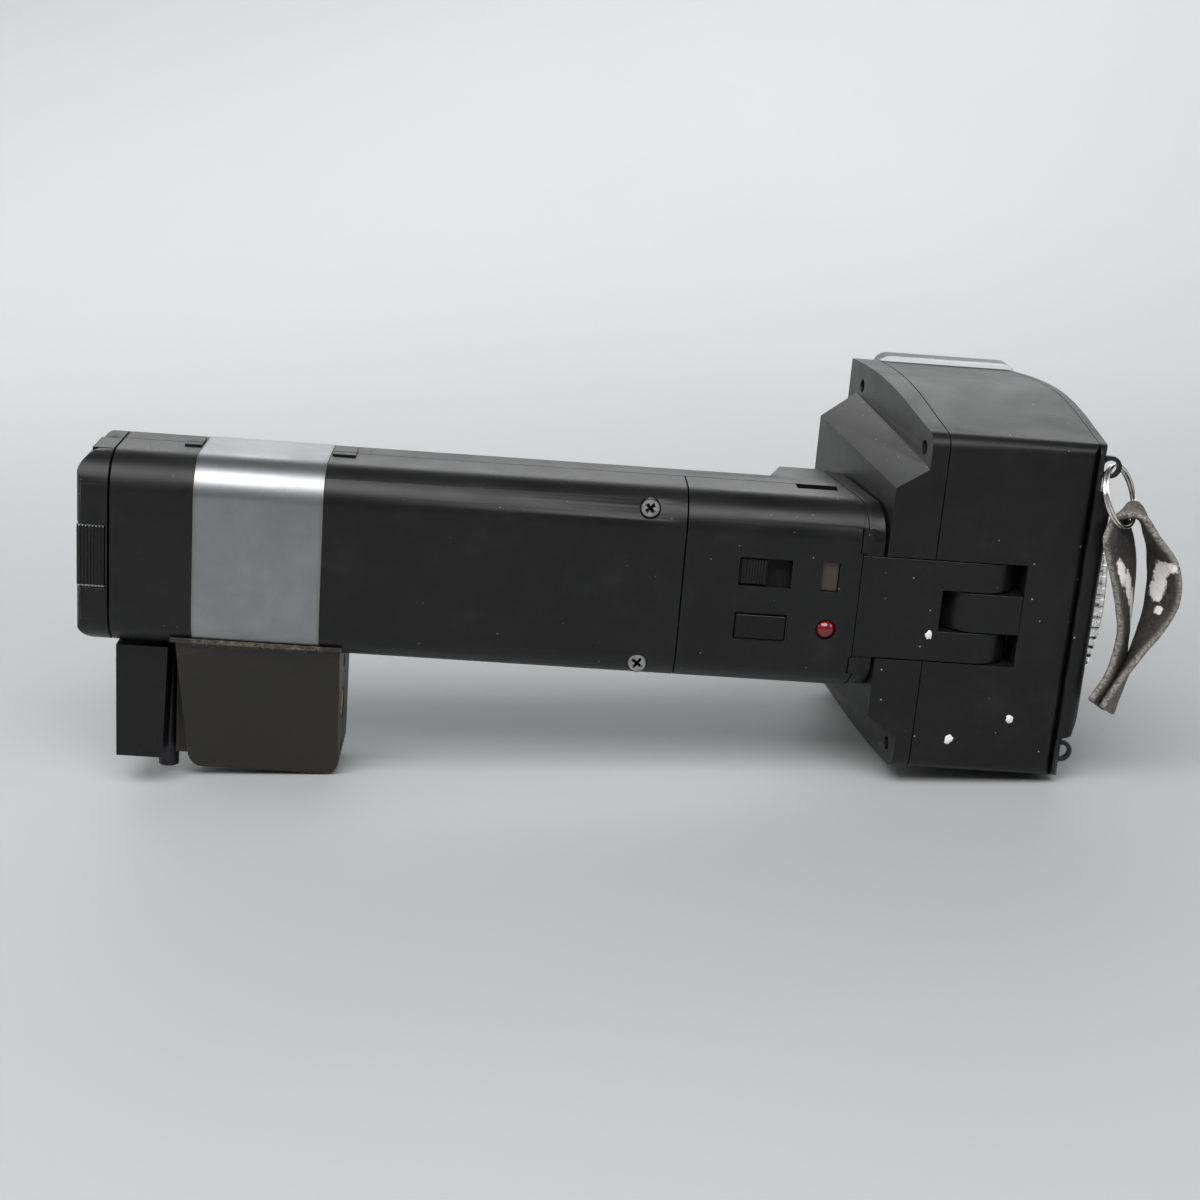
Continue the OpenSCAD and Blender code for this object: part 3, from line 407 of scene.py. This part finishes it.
def clear_plastic(name, tint, rough=0.04, ribs=0.0, rib_pitch=1.3):
    """Clear plastic; ribs adds fine prism lines along the window."""
    g = Graph(name)
    haze = g.ramp(g.noise(55, 6, 0.7), 0.35, 0.75, rough, rough + 0.08)
    height = g.noise(240, 3)
    if ribs:
        along = g.along(ALONG)
        wave = g.math("SINE", g.math("MULTIPLY", along, TAU / (rib_pitch * MM)))
        height = g.math("ADD", g.math("MULTIPLY", height, 0.1), g.math("MULTIPLY", wave, ribs))
    grime = g.math("MULTIPLY", g.ramp(g.noise(420, 6, 0.8), 0.6, 0.8), 0.25)
    colour = g.mix(grime, tint, (0.5, 0.5, 0.48))
    g.set(Base_Color=colour, Roughness=haze, Transmission_Weight=1.0, IOR=1.49,
          Normal=g.bump(height, 0.3, 0.0002))
    return g.material


def printed_plate(name):
    """Dial plate: rings and sectors in plain colours with a worn silk-screen look."""
    g = Graph(name)
    centre = row(PLATE_X, DIAL_Y, 0)
    up = g.along(ACROSS, centre)
    side = g.along(Vector((0, 1, 0)), centre)
    radius = g.math("SQRT", g.math("ADD", g.math("MULTIPLY", up, up), g.math("MULTIPLY", side, side)))
    angle = g.math("ARCTAN2", up, side)
    colour = g.mix(g.band(radius, 0.0225, 0.0035, 0.0001), (0.6, 0.6, 0.56), (0.03, 0.03, 0.03))
    ticks = g.ramp(g.math("SINE", g.math("MULTIPLY", angle, 48)), 0.9, 0.96)
    ticks = g.math("MULTIPLY", ticks, g.band(radius, 0.0183, 0.0007, 0.0001))
    colour = g.mix(ticks, colour, (0.03, 0.03, 0.03))
    sector = g.math("MULTIPLY", g.band(angle, 0.9, 0.42, 0.01), g.band(radius, 0.0128, 0.0024, 0.0001))
    colour = g.mix(sector, colour, (0.5, 0.16, 0.02))
    sector = g.math("MULTIPLY", g.band(angle, 2.1, 0.42, 0.01), g.band(radius, 0.0128, 0.0024, 0.0001))
    colour = g.mix(sector, colour, (0.03, 0.16, 0.3))
    worn = g.ramp(g.noise(350, 7, 0.8), 0.62, 0.72, 0.0, 0.35)
    colour = g.mix(worn, colour, (0.4, 0.4, 0.37))
    g.set(Base_Color=colour, Roughness=0.42, Normal=g.bump(g.noise(1500, 3), 0.15, 0.00005))
    return g.material


def tinted(name, base, rough=0.35, metal=0.0, vary=0.35, scale=120, bump=0.2, coat=0.0, glow=0.0):
    """One-colour materials with mottling, fine relief and grime."""
    g = Graph(name)
    mottled = g.noise(scale, 6, 0.65)
    colour = g.mix(g.ramp(mottled, 0.3, 0.72), tuple(c * (1 - vary) for c in base), base)
    grime = g.ramp(g.noise(scale * 5, 6, 0.8), 0.6, 0.78, 0.0, 0.3)
    colour = g.mix(grime, colour, tuple(0.25 * c + 0.01 for c in base))
    g.set(Base_Color=colour, Metallic=metal, Coat_Weight=coat, Coat_Roughness=0.08,
          Roughness=g.ramp(mottled, 0.3, 0.7, rough, rough + 0.14),
          Normal=g.bump(g.noise(scale * 12, 4), bump, 0.00005))
    if glow:
        g.set(Subsurface_Weight=glow, Subsurface_Radius=(0.004, 0.001, 0.001))
    return g.material


def paint_white(name):
    g = Graph(name)
    lumps = g.noise(900, 5, 0.7)
    colour = g.mix(g.ramp(lumps, 0.3, 0.7), (0.74, 0.72, 0.7), (0.93, 0.92, 0.91))
    g.set(Base_Color=colour, Roughness=0.6, Normal=g.bump(lumps, 0.6, 0.0002))
    return g.material


MAT = {
    "shell": black_plastic("shell_plastic").material,
    "cover": black_plastic("cover_plastic", base=0.0052, rough=0.33, dust=1.2).material,
    "head": black_plastic("head_plastic", base=0.0052, rough=0.37, dust=1.3).material,
    "arm": black_plastic("arm_plastic", base=0.005, rough=0.32, grain=0.25).material,
    "smooth": smooth_plastic("smooth_plastic"),
    "latch": latch_plastic("latch_plastic"),
    "gloss": smooth_plastic("button_plastic", base=0.003, rough=0.1),
    "foot": foot_plastic("foot_plastic"),
    "band": band_metal("band_metal"),
    "nickel": bright_metal("nickel"),
    "chrome": bright_metal("ring_metal", base=(0.78, 0.76, 0.73), rough=0.1, dirt=(0.25, 0.19, 0.13)),
    "steel": bright_metal("steel", base=(0.5, 0.5, 0.5), rough=0.3),
    "screw": screw_metal("screw_steel"),
    "dark_steel": bright_metal(
        "dark_steel", base=(0.05, 0.05, 0.055), rough=0.35, dirt=(0.03, 0.03, 0.03)),
    "brass": bright_metal("brass", base=(0.62, 0.48, 0.24), rough=0.3),
    "leather": leather("leather"),
    "window": clear_plastic("window_plastic", (0.95, 0.97, 0.97), 0.02, ribs=0.35),
    "dial": clear_plastic("dial_plastic", (0.9, 0.9, 0.88), 0.06),
    "glass": clear_plastic("tube_glass", (0.97, 0.98, 1.0), 0.02),
    "print": printed_plate("dial_print"),
    "lamp": tinted("lamp_red", (0.17, 0.003, 0.006), 0.1, vary=0.2, coat=0.6, glow=0.25),
    "indicator": tinted("indicator_lens", (0.042, 0.036, 0.025), 0.3, vary=0.25, coat=0.2),
    "sensor": tinted("sensor_glass", (0.03, 0.004, 0.006), 0.06, coat=0.8),
    "reflector": bright_metal(
        "reflector_metal", base=(0.86, 0.87, 0.88), rough=0.12, dirt=(0.5, 0.5, 0.5)),
    "board": tinted("circuit_board", (0.05, 0.16, 0.07), 0.4),
    "capacitor": tinted("capacitor_sleeve", (0.02, 0.03, 0.13), 0.25),
    "cell": tinted("cell_sleeve", (0.05, 0.12, 0.2), 0.25),
    "tape": tinted("coil_tape", (0.4, 0.26, 0.06), 0.35),
    "paint": paint_white("white_paint"),
    "ink": tinted("dial_ink", (0.65, 0.65, 0.6), 0.4),
    "cavity": tinted("cavity_black", (0.006, 0.006, 0.006), 0.7),
}


# Mesh helpers

def finish_piece(piece, body, material, replaced=()):
    piece.data.materials.clear()
    piece.data.materials.append(MAT[material])
    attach(piece, body)
    if replaced:
        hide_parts(*replaced)
    return piece


def new_object(name, bm, smooth_angle=35):
    mesh = bpy.data.meshes.new(name)
    bm.normal_update()
    bm.to_mesh(mesh)
    bm.free()
    mesh.shade_smooth()
    mesh.set_sharp_from_angle(angle=math.radians(smooth_angle))
    made = bpy.data.objects.new(name, mesh)
    bpy.context.scene.collection.objects.link(made)
    return made


def bake_modifiers(piece):
    graph = bpy.context.evaluated_depsgraph_get()
    baked = bpy.data.meshes.new_from_object(piece.evaluated_get(graph))
    piece.modifiers.clear()
    piece.data = baked
    return piece


def body_of_node(node):
    bodies = frame["record"]["behaviour"]["bodies"]
    return next(body for body, members in bodies.items() if node in members)


# Long corners that get a large rounding: radius in millimetres, the two axes of the working
# frame that the corner's faces look along, the first one's sign, and how far out it lies
CORNERS = {
    "head_top_cover": (2.6, "x", 1, "z", 43.0),
    "head_rear_shell": (3.2, "x", -1, "z", 43.0),
    "foot_block": (2.4, "y", -1, "x", 0.0),
}


def rounded(node, material, width=0.35, segments=2, angle=32):
    """A copy of a CAD node with its sharp edges rounded by width, in millimetres."""
    bm = bmesh.new()
    bm.from_mesh(NODES[node].data)
    bmesh.ops.remove_doubles(bm, verts=bm.verts, dist=2e-6)
    bmesh.ops.dissolve_limit(bm, angle_limit=math.radians(0.6), verts=bm.verts, edges=bm.edges)
    if node in CORNERS:
        round_corners(bm, *CORNERS[node])
    piece = new_object(node + "_skin", bm)
    bevel = piece.modifiers.new("rounding", "BEVEL")
    bevel.width = width * MM
    bevel.segments = segments
    bevel.limit_method = "ANGLE"
    bevel.angle_limit = math.radians(angle)
    bevel.use_clamp_overlap = True
    bevel.harden_normals = True
    bevel.miter_outer = "MITER_ARC"
    bpy.context.view_layer.update()
    bake_modifiers(piece)
    return finish_piece(piece, body_of_node(node), material, (node,))


def round_corners(bm, radius, first, sign, second, outer):
    back = ROW.inverted()
    turned = back.to_3x3()
    chosen = []
    for edge in bm.edges:
        if len(edge.link_faces) != 2 or edge.calc_length() < 2 * MM:
            continue
        ends = [back @ vert.co for vert in edge.verts]
        normals = [(turned @ face.normal).normalized() for face in edge.link_faces]
        faces_first = max(getattr(n, first) * sign for n in normals) > 0.85
        faces_second = max(abs(getattr(n, second)) for n in normals) > 0.85
        if faces_first and faces_second and all(abs(end.z) > outer for end in ends):
            chosen.append(edge)
    bmesh.ops.bevel(bm, geom=chosen, offset=radius * MM, segments=6, profile=0.5,
                    affect="EDGES", clamp_overlap=True)


def dress(node, material):
    """Gives a CAD node that stays its own material."""
    piece = NODES[node]
    piece.data.materials.clear()
    piece.data.materials.append(MAT[material])


def tube(name, points, radius, sides=12, closed=False):
    """A tube along points in metres; radius may be a function of the share along it."""
    bm = bmesh.new()
    rings = []
    normal = None
    count = len(points)
    for i, point in enumerate(points):
        before = points[i - 1] if i > 0 or closed else points[i]
        after = points[(i + 1) % count] if i < count - 1 or closed else points[i]
        tangent = (after - before).normalized()
        if normal is None:
            normal = tangent.orthogonal().normalized()
        normal = (normal - tangent * normal.dot(tangent)).normalized()
        other = tangent.cross(normal)
        r = radius(i / (count - 1)) if callable(radius) else radius
        rings.append([bm.verts.new(point + r * (math.cos(TAU * k / sides) * normal
                      + math.sin(TAU * k / sides) * other)) for k in range(sides)])
    for i in range(count - (0 if closed else 1)):
        a, b = rings[i], rings[(i + 1) % count]
        for k in range(sides):
            bm.faces.new((a[k], a[(k + 1) % sides], b[(k + 1) % sides], b[k]))
    if not closed:
        bm.faces.new(rings[0][::-1])
        bm.faces.new(rings[-1])
    return new_object(name, bm, 50)


def catmull(points, steps):
    """A smooth curve through tuples of numbers, with steps between each two."""
    out = []
    last = len(points) - 1
    for i in range(last):
        quad = [points[max(i - 1, 0)], points[i], points[i + 1], points[min(i + 2, last)]]
        for s in range(steps):
            t = s / steps
            out.append(tuple(
                0.5 * (2 * b + (c - a) * t + (2 * a - 5 * b + 4 * c - d) * t ** 2
                       + (3 * b - a - 3 * c + d) * t ** 3)
                for a, b, c, d in zip(*quad)))
    out.append(tuple(points[-1]))
    return out


# Pieces taken from the CAD solids, with rounded edges

ROUNDED = (
    # node, material, rounding in millimetres
    ("grip_rear_shell", "shell", 0.22),
    ("grip_front_shell", "shell", 0.3),
    ("control_cover", "cover", 0.25),
    ("neck_collar", "cover", 0.25),
    ("clamp_band", "band", 0.12),
    ("seam_catches", "shell", 0.15),
    ("grip_screws", "screw", 0.1),
    ("hinge_arm", "arm", 0.25),
    ("foot_block", "foot", 0.5),
    ("foot_lip", "foot", 0.12),
    ("bracket_insert", "brass", 0.2),
    ("release_pin", "dark_steel", 0.4),
    ("release_lever", "smooth", 0.35),
    ("battery_cap", "shell", 0.25),
    ("cap_latch", "latch", 0.12),
    ("cap_side_tab", "shell", 0.1),
    ("power_slider", "smooth", 0.12),
    ("test_button", "gloss", 0.3),
    ("indicator_window", "indicator", 0.1),
    ("head_rear_shell", "head", 0.4),
    ("head_main_shell", "head", 0.12),
    ("head_top_cover", "head", 0.1),
    ("hinge_lug", "arm", 0.2),
    ("flash_window", "window", 0.5),
    ("strap_lugs", "dark_steel", 0.3),
    ("calculator_dial", "dial", 0.15),
    ("sync_socket", "nickel", 0.15),
    ("ready_lamp", "lamp", 0.1),
)

DRESSED = {
    "hinge_pin": "steel", "battery_holder": "smooth", "battery_cells": "cell",
    "contact_strips": "nickel", "main_capacitor": "capacitor", "power_board": "board",
    "inverter_transformer": "tape", "control_board": "board", "power_switch_body": "cavity",
    "seam_slot_plate": "cavity", "sensor_lens": "sensor",
    "sensor_cell": "steel", "rim_screws": "dark_steel", "reflector": "reflector",
    "flash_tube": "glass", "trigger_coil": "tape", "dial_scale": "print",
}


# Split ring: one wire wound twice

LUG = (260.9, 3.0, 39.3)
RING_RADIUS, RING_WIRE = 8.1, 0.9
RING_DROP, RING_TWIST = math.radians(62), math.radians(-35)


def ring_point(angle, offset):
    """Point on the ring in the working frame: angle 0 at the lug, offset along its axis."""
    local = Vector((offset, -RING_RADIUS * math.sin(angle), RING_RADIUS * math.cos(angle) - RING_RADIUS))
    local = Matrix.Rotation(RING_TWIST, 3, "Z") @ local
    local = Matrix.Rotation(RING_DROP - math.pi / 2, 3, "Y") @ local
    return Vector(LUG) + local


def split_ring():
    start, steps = math.radians(205), 150
    half = RING_WIRE * 0.475
    points = []
    for i in range(steps + 1):
        turned = 2 * i / steps - 1
        # The wire crosses from one side to the other over a short stretch in the middle
        side = half * max(-1.0, min(1.0, turned * 5))
        points.append(row(*ring_point(start + TAU * turned * 0.985, side)))
    radius = RING_WIRE * MM / 2
    piece = tube("split_ring_wire", points, lambda t: radius * (0.75 if t in (0, 1) else 1.0), 14)
    return finish_piece(piece, "ring", "chrome", ("split_ring",))


# Leather strap: one strip folded through the ring, its two ends glued at the tail.
# Each station: near edge x and z, far edge x and z, then both edges' depth y.

STRAP_THICK = 2.3
STRAP_STATIONS = (
    (262.6, -20.8, 270.0, -27.2, -6.0, 5.6),
    (266.4, -12.8, 273.4, -13.6, -6.0, 5.6),
    (267.7, -5.0, 273.0, -6.0, -6.0, 5.6),
    (267.0, 1.5, 272.7, 1.0, -6.0, 5.7),
    (264.2, 10.6, 272.6, 11.0, -6.0, 5.8),
    (261.2, 18.2, 271.8, 16.8, -6.0, 5.8),
    (259.8, 23.4, 270.6, 20.2, -6.0, 6.0),
    (262.3, 26.4, 268.9, 25.6, -1.4, 7.2),
    (263.9, 27.5, 269.2, 29.1, -1.5, 6.7),
    (265.4, 28.2, 270.7, 29.6, -2.4, 5.8),
    (268.8, 28.4, 272.4, 26.6, -4.2, 5.6),
    (273.4, 23.6, 273.6, 22.4, -5.6, 5.8),
    (278.4, 18.4, 274.8, 18.0, -6.0, 5.8),
    (280.8, 12.6, 275.8, 12.4, -6.0, 5.8),
    (281.0, 6.0, 276.4, 6.0, -6.0, 5.8),
    (278.6, 0.2, 276.4, 0.2, -6.0, 5.7),
    (273.6, -7.2, 275.8, -7.0, -6.0, 5.6),
    (269.4, -14.4, 274.6, -14.8, -6.0, 5.6),
    (265.6, -22.2, 272.2, -28.0, -6.0, 5.6),
)
# Glue patches: share along the strip, share across from the near edge, half sizes
GLUE_PATCHES = (
    (0.245, 0.22, 0.03, 0.13), (0.215, 0.42, 0.03, 0.15), (0.18, 0.62, 0.026, 0.15),
    (0.155, 0.72, 0.016, 0.1),
    (0.685, 0.14, 0.014, 0.2), (0.695, 0.4, 0.022, 0.2), (0.725, 0.5, 0.028, 0.2),
    (0.755, 0.58, 0.026, 0.22), (0.8, 0.36, 0.013, 0.13),
    (0.64, 0.94, 0.05, 0.07),
)
# The face of the strip that lies inside the fold
INNER_SIDE = 1


def leather_strap():
    steps, across = 9, 14
    stations = catmull(STRAP_STATIONS, steps)
    count = len(stations)
    centres = [Vector(((s[0] + s[2]) / 2, (s[4] + s[5]) / 2, (s[1] + s[3]) / 2)) for s in stations]
    bm = bmesh.new()
    edge_layer = bm.verts.layers.float.new("edge")
    inner_layer = bm.verts.layers.float.new("inner")
    patch_layer = bm.verts.layers.float.new("patch")
    loops = []
    for i, s in enumerate(stations):
        share = i / (count - 1)
        near, far = Vector((s[0], s[4], s[1])), Vector((s[2], s[5], s[3]))
        tangent = (centres[min(i + 1, count - 1)] - centres[max(i - 1, 0)]).normalized()
        width = far - near
        outward = width.cross(tangent).normalized()
        loop = []
        for side in (1, -1):
            for k in range(across + 1):
                a = k / across if side == 1 else 1 - k / across
                # Rounded cut edges, a slight cup and a waviness that leather takes
                rim = min(a, 1 - a) * width.length
                half = STRAP_THICK / 2 * min(1.0, 0.45 + 0.55 * min(1.0, rim / 0.7))
                wave = 0.28 * noise.noise(centres[i] * 0.16 + Vector((a * 1.7, side * 0.01, 0)))
                cup = 0.45 * (4 * a * (1 - a) - 0.6)
                ragged = 0.12 * noise.noise(Vector((share * 60, a * 9, side * 5)))
                point = near + width * a + outward * (side * (half + ragged) + wave + cup)
                vert = bm.verts.new(row(*point))
                vert[edge_layer] = max(0.0, min(1.0, 1.6 - rim / 0.5))
                vert[inner_layer] = 1.0 if side == INNER_SIDE else 0.0
                patch = max(
                    1 - math.hypot((share - p[0]) / p[2], (a - p[1]) / p[3]) for p in GLUE_PATCHES)
                vert[patch_layer] = max(0.0, min(1.0, 0.5 + patch)) if side == INNER_SIDE else 0.0
                loop.append(vert)
        loops.append(loop)
    size = 2 * (across + 1)
    for a, b in zip(loops, loops[1:]):
        for k in range(size):
            bm.faces.new((a[k], a[(k + 1) % size], b[(k + 1) % size], b[k]))
    for loop, flip in ((loops[0], True), (loops[-1], False)):
        rows = [(loop[k], loop[size - 1 - k]) for k in range(across + 1)]
        for (p, q), (r, t) in zip(rows, rows[1:]):
            bm.faces.new((p, q, t, r) if flip else (p, r, t, q))
        for vert in loop:
            vert[edge_layer] = 0.9
    bmesh.ops.recalc_face_normals(bm, faces=bm.faces)
    piece = new_object("leather_strap_strip", bm, 60)
    subdivide = piece.modifiers.new("smooth", "SUBSURF")
    subdivide.levels = subdivide.render_levels = 1
    bpy.context.view_layer.update()
    bake_modifiers(piece)
    return finish_piece(piece, "strap", "leather", ("leather_strap",))


# Spots of white paint on the back of the head

PAINT_SPOTS = (
    # x, y, z in the working frame, radius, body
    (219.6, 0.0, -7.5, 1.0, "grip"), (243.8, 0.0, -29.2, 1.0, "flash_head"),
    (228.5, 0.0, -36.0, 1.15, "flash_head"),
)


def paint_spot(index, x, y, z, radius, body):
    """A flat dried blob with a ragged outline and a low crown."""
    bm = bmesh.new()
    spokes, rings = 28, 5
    top = bm.verts.new(row(x, y - 0.34, z))
    base = bm.verts.new(row(x, y + 0.05, z))
    loops = []
    for j in range(1, rings + 1):
        share = j / rings
        loop = []
        for k in range(spokes):
            angle = TAU * k / spokes
            ragged = 1 + 0.38 * noise.noise(Vector((math.cos(angle), math.sin(angle), index * 7.3)) * 1.6)
            height = 0.34 * math.sqrt(max(0.0, 1 - share ** 2)) if j < rings else -0.05
            height += 0.05 * noise.noise(Vector((j * 1.3, k * 0.9, index)))
            reach = radius * share * ragged
            loop.append(bm.verts.new(row(x + reach * math.cos(angle), y - height,
                                         z + 1.15 * reach * math.sin(angle))))
        loops.append(loop)
    for k in range(spokes):
        n = (k + 1) % spokes
        bm.faces.new((top, loops[0][k], loops[0][n]))
        bm.faces.new((base, loops[-1][n], loops[-1][k]))
        for a, b in zip(loops, loops[1:]):
            bm.faces.new((a[k], b[k], b[n], a[n]))
    bmesh.ops.recalc_face_normals(bm, faces=bm.faces)
    piece = new_object("paint_spot_%d" % index, bm, 80)
    return finish_piece(piece, body, "paint")


# Numbers on the dial

NUMBERS = (
    # texts, radius, first angle, last angle, height, all in millimetres and degrees
    (("1.4", "2", "2.8", "4", "5.6", "8", "11", "16", "22"), 22.6, 210, -30, 3.0),
    (("25", "50", "100", "200", "400", "800"), 13.2, 160, 20, 2.4),
)


def dial_numbers():
    """Plain numbers standing on the plate under the clear dial."""
    letters = []
    for texts, radius, first, last, height in NUMBERS:
        for i, text in enumerate(texts):
            angle = math.radians(first + (last - first) * i / (len(texts) - 1))
            curve = bpy.data.curves.new("number", "FONT")
            curve.body = text
            curve.size = height * 1.3
            curve.align_x = "CENTER"
            curve.align_y = "CENTER"
            curve.extrude = 0.06
            thing = bpy.data.objects.new("number", curve)
            bpy.context.scene.collection.objects.link(thing)
            bpy.context.view_layer.update()
            graph = bpy.context.evaluated_depsgraph_get()
            mesh = bpy.data.meshes.new_from_object(thing.evaluated_get(graph))
            bpy.data.objects.remove(thing)
            # Text lies in x-y facing +z: stand it on the plate, facing +x, its top outward
            turn = Matrix.Rotation(angle - math.pi / 2, 4, "Z")
            out = Matrix.Translation((radius * math.cos(angle), radius * math.sin(angle), 0))
            face = Matrix(((0, 0, 1, PLATE_TOP), (1, 0, 0, DIAL_Y), (0, 1, 0, 0), (0, 0, 0, 1)))
            mesh.transform(ROW @ face @ out @ turn)
            letters.append(mesh)
    bm = bmesh.new()
    for mesh in letters:
        bm.from_mesh(mesh)
        bpy.data.meshes.remove(mesh)
    piece = new_object("dial_numbers", bm, 30)
    return finish_piece(piece, "flash_head", "ink")


# Stage: one sheet of pale paper, flat under the flash and rising behind it

PAPER = (0.44, 0.445, 0.45)
SWEEP_START, SWEEP_RADIUS, SWEEP_TOP = 0.7, 0.8, 2.4
STAGE_HALF, STAGE_FRONT = 5.0, -4.0


def stage_material(name, colour, rough):
    g = Graph(name)
    tone = g.mix(g.ramp(g.noise(3, 4), 0.3, 0.7), colour, tuple(c * 0.97 for c in colour))
    g.set(Base_Color=tone, Roughness=rough, Specular_IOR_Level=0.35)
    return g.material


def build_stage():
    profile = [(STAGE_FRONT, 0.0), (0.0, 0.0)]
    for k in range(13):
        angle = math.radians(7.5 * k)
        profile.append((SWEEP_START + SWEEP_RADIUS * math.sin(angle),
                        SWEEP_RADIUS * (1 - math.cos(angle))))
    profile.append((SWEEP_START + SWEEP_RADIUS, SWEEP_TOP))
    bm = bmesh.new()
    lines = [[bm.verts.new((x, y, z)) for y, z in profile] for x in (-STAGE_HALF, STAGE_HALF)]
    for k in range(len(profile) - 1):
        bm.faces.new((lines[0][k], lines[1][k], lines[1][k + 1], lines[0][k + 1]))
    paper = new_object("paper", bm, 60)
    paper.data.materials.append(stage_material("paper", PAPER, 0.6))


WORLD_COLOUR, WORLD_LEVEL = (0.95, 0.97, 1.0), 0.16


def world():
    """A plain dim level all round; the pale paper gives the background."""
    made = bpy.data.worlds.new("studio")
    bpy.context.scene.world = made
    made.use_nodes = True
    shade = made.node_tree.nodes["Background"]
    shade.inputs["Color"].default_value = (*WORLD_COLOUR, 1)
    shade.inputs["Strength"].default_value = WORLD_LEVEL


LAMPS = (
    # name, place, aim and size in metres, power in watts
    ("key_soft", (-0.12, -0.62, 0.92), (0, 0, 0.05), (1.3, 0.6), 15),
    ("back_soft", (-0.25, 1.0, 0.62), (0, 0.05, 0.05), (2.2, 0.34), 5),
    ("left_soft", (-1.3, 0.25, 0.45), (-0.1, 0, 0.06), (0.8, 0.5), 7),
    ("right_soft", (1.2, -0.2, 0.5), (0.13, 0, 0.05), (0.5, 0.5), 2.5),
    ("paper_soft", (0, 0.45, 1.0), (0, 1.45, 0.65), (2.2, 0.4), 20),
)


def lamp(name, place, aim, size, power):
    data = bpy.data.lights.new(name, "AREA")
    data.shape = "RECTANGLE"
    data.size, data.size_y = size
    data.energy = power
    made = bpy.data.objects.new(name, data)
    bpy.context.scene.collection.objects.link(made)
    made.location = place
    made.rotation_euler = (Vector(aim) - Vector(place)).to_track_quat("-Z", "Y").to_euler()


def camera():
    origin = row(GRIP_END_TO_MIDDLE, 0, 0)
    data = bpy.data.cameras.new("camera")
    data.sensor_fit = "HORIZONTAL"
    data.sensor_width = 36.0
    data.lens = CAMERA_LENS
    data.clip_start, data.clip_end = 0.01, 20
    made = bpy.data.objects.new("camera", data)
    bpy.context.scene.collection.objects.link(made)
    made.location = origin + MM * CAMERA_FROM_GRIP
    made.rotation_euler = CAMERA_LOOK.to_track_quat("-Z", "Y").to_euler()
    bpy.context.scene.camera = made


camera()
for node_name, look, radius in ROUNDED:
    rounded(node_name, look, radius)
for node_name, look in DRESSED.items():
    dress(node_name, look)
split_ring()
leather_strap()
for number, spot in enumerate(PAINT_SPOTS):
    paint_spot(number, *spot)
dial_numbers()
build_stage()
world()
for settings in LAMPS:
    lamp(*settings)
bpy.context.scene.view_settings.view_transform = "Standard"
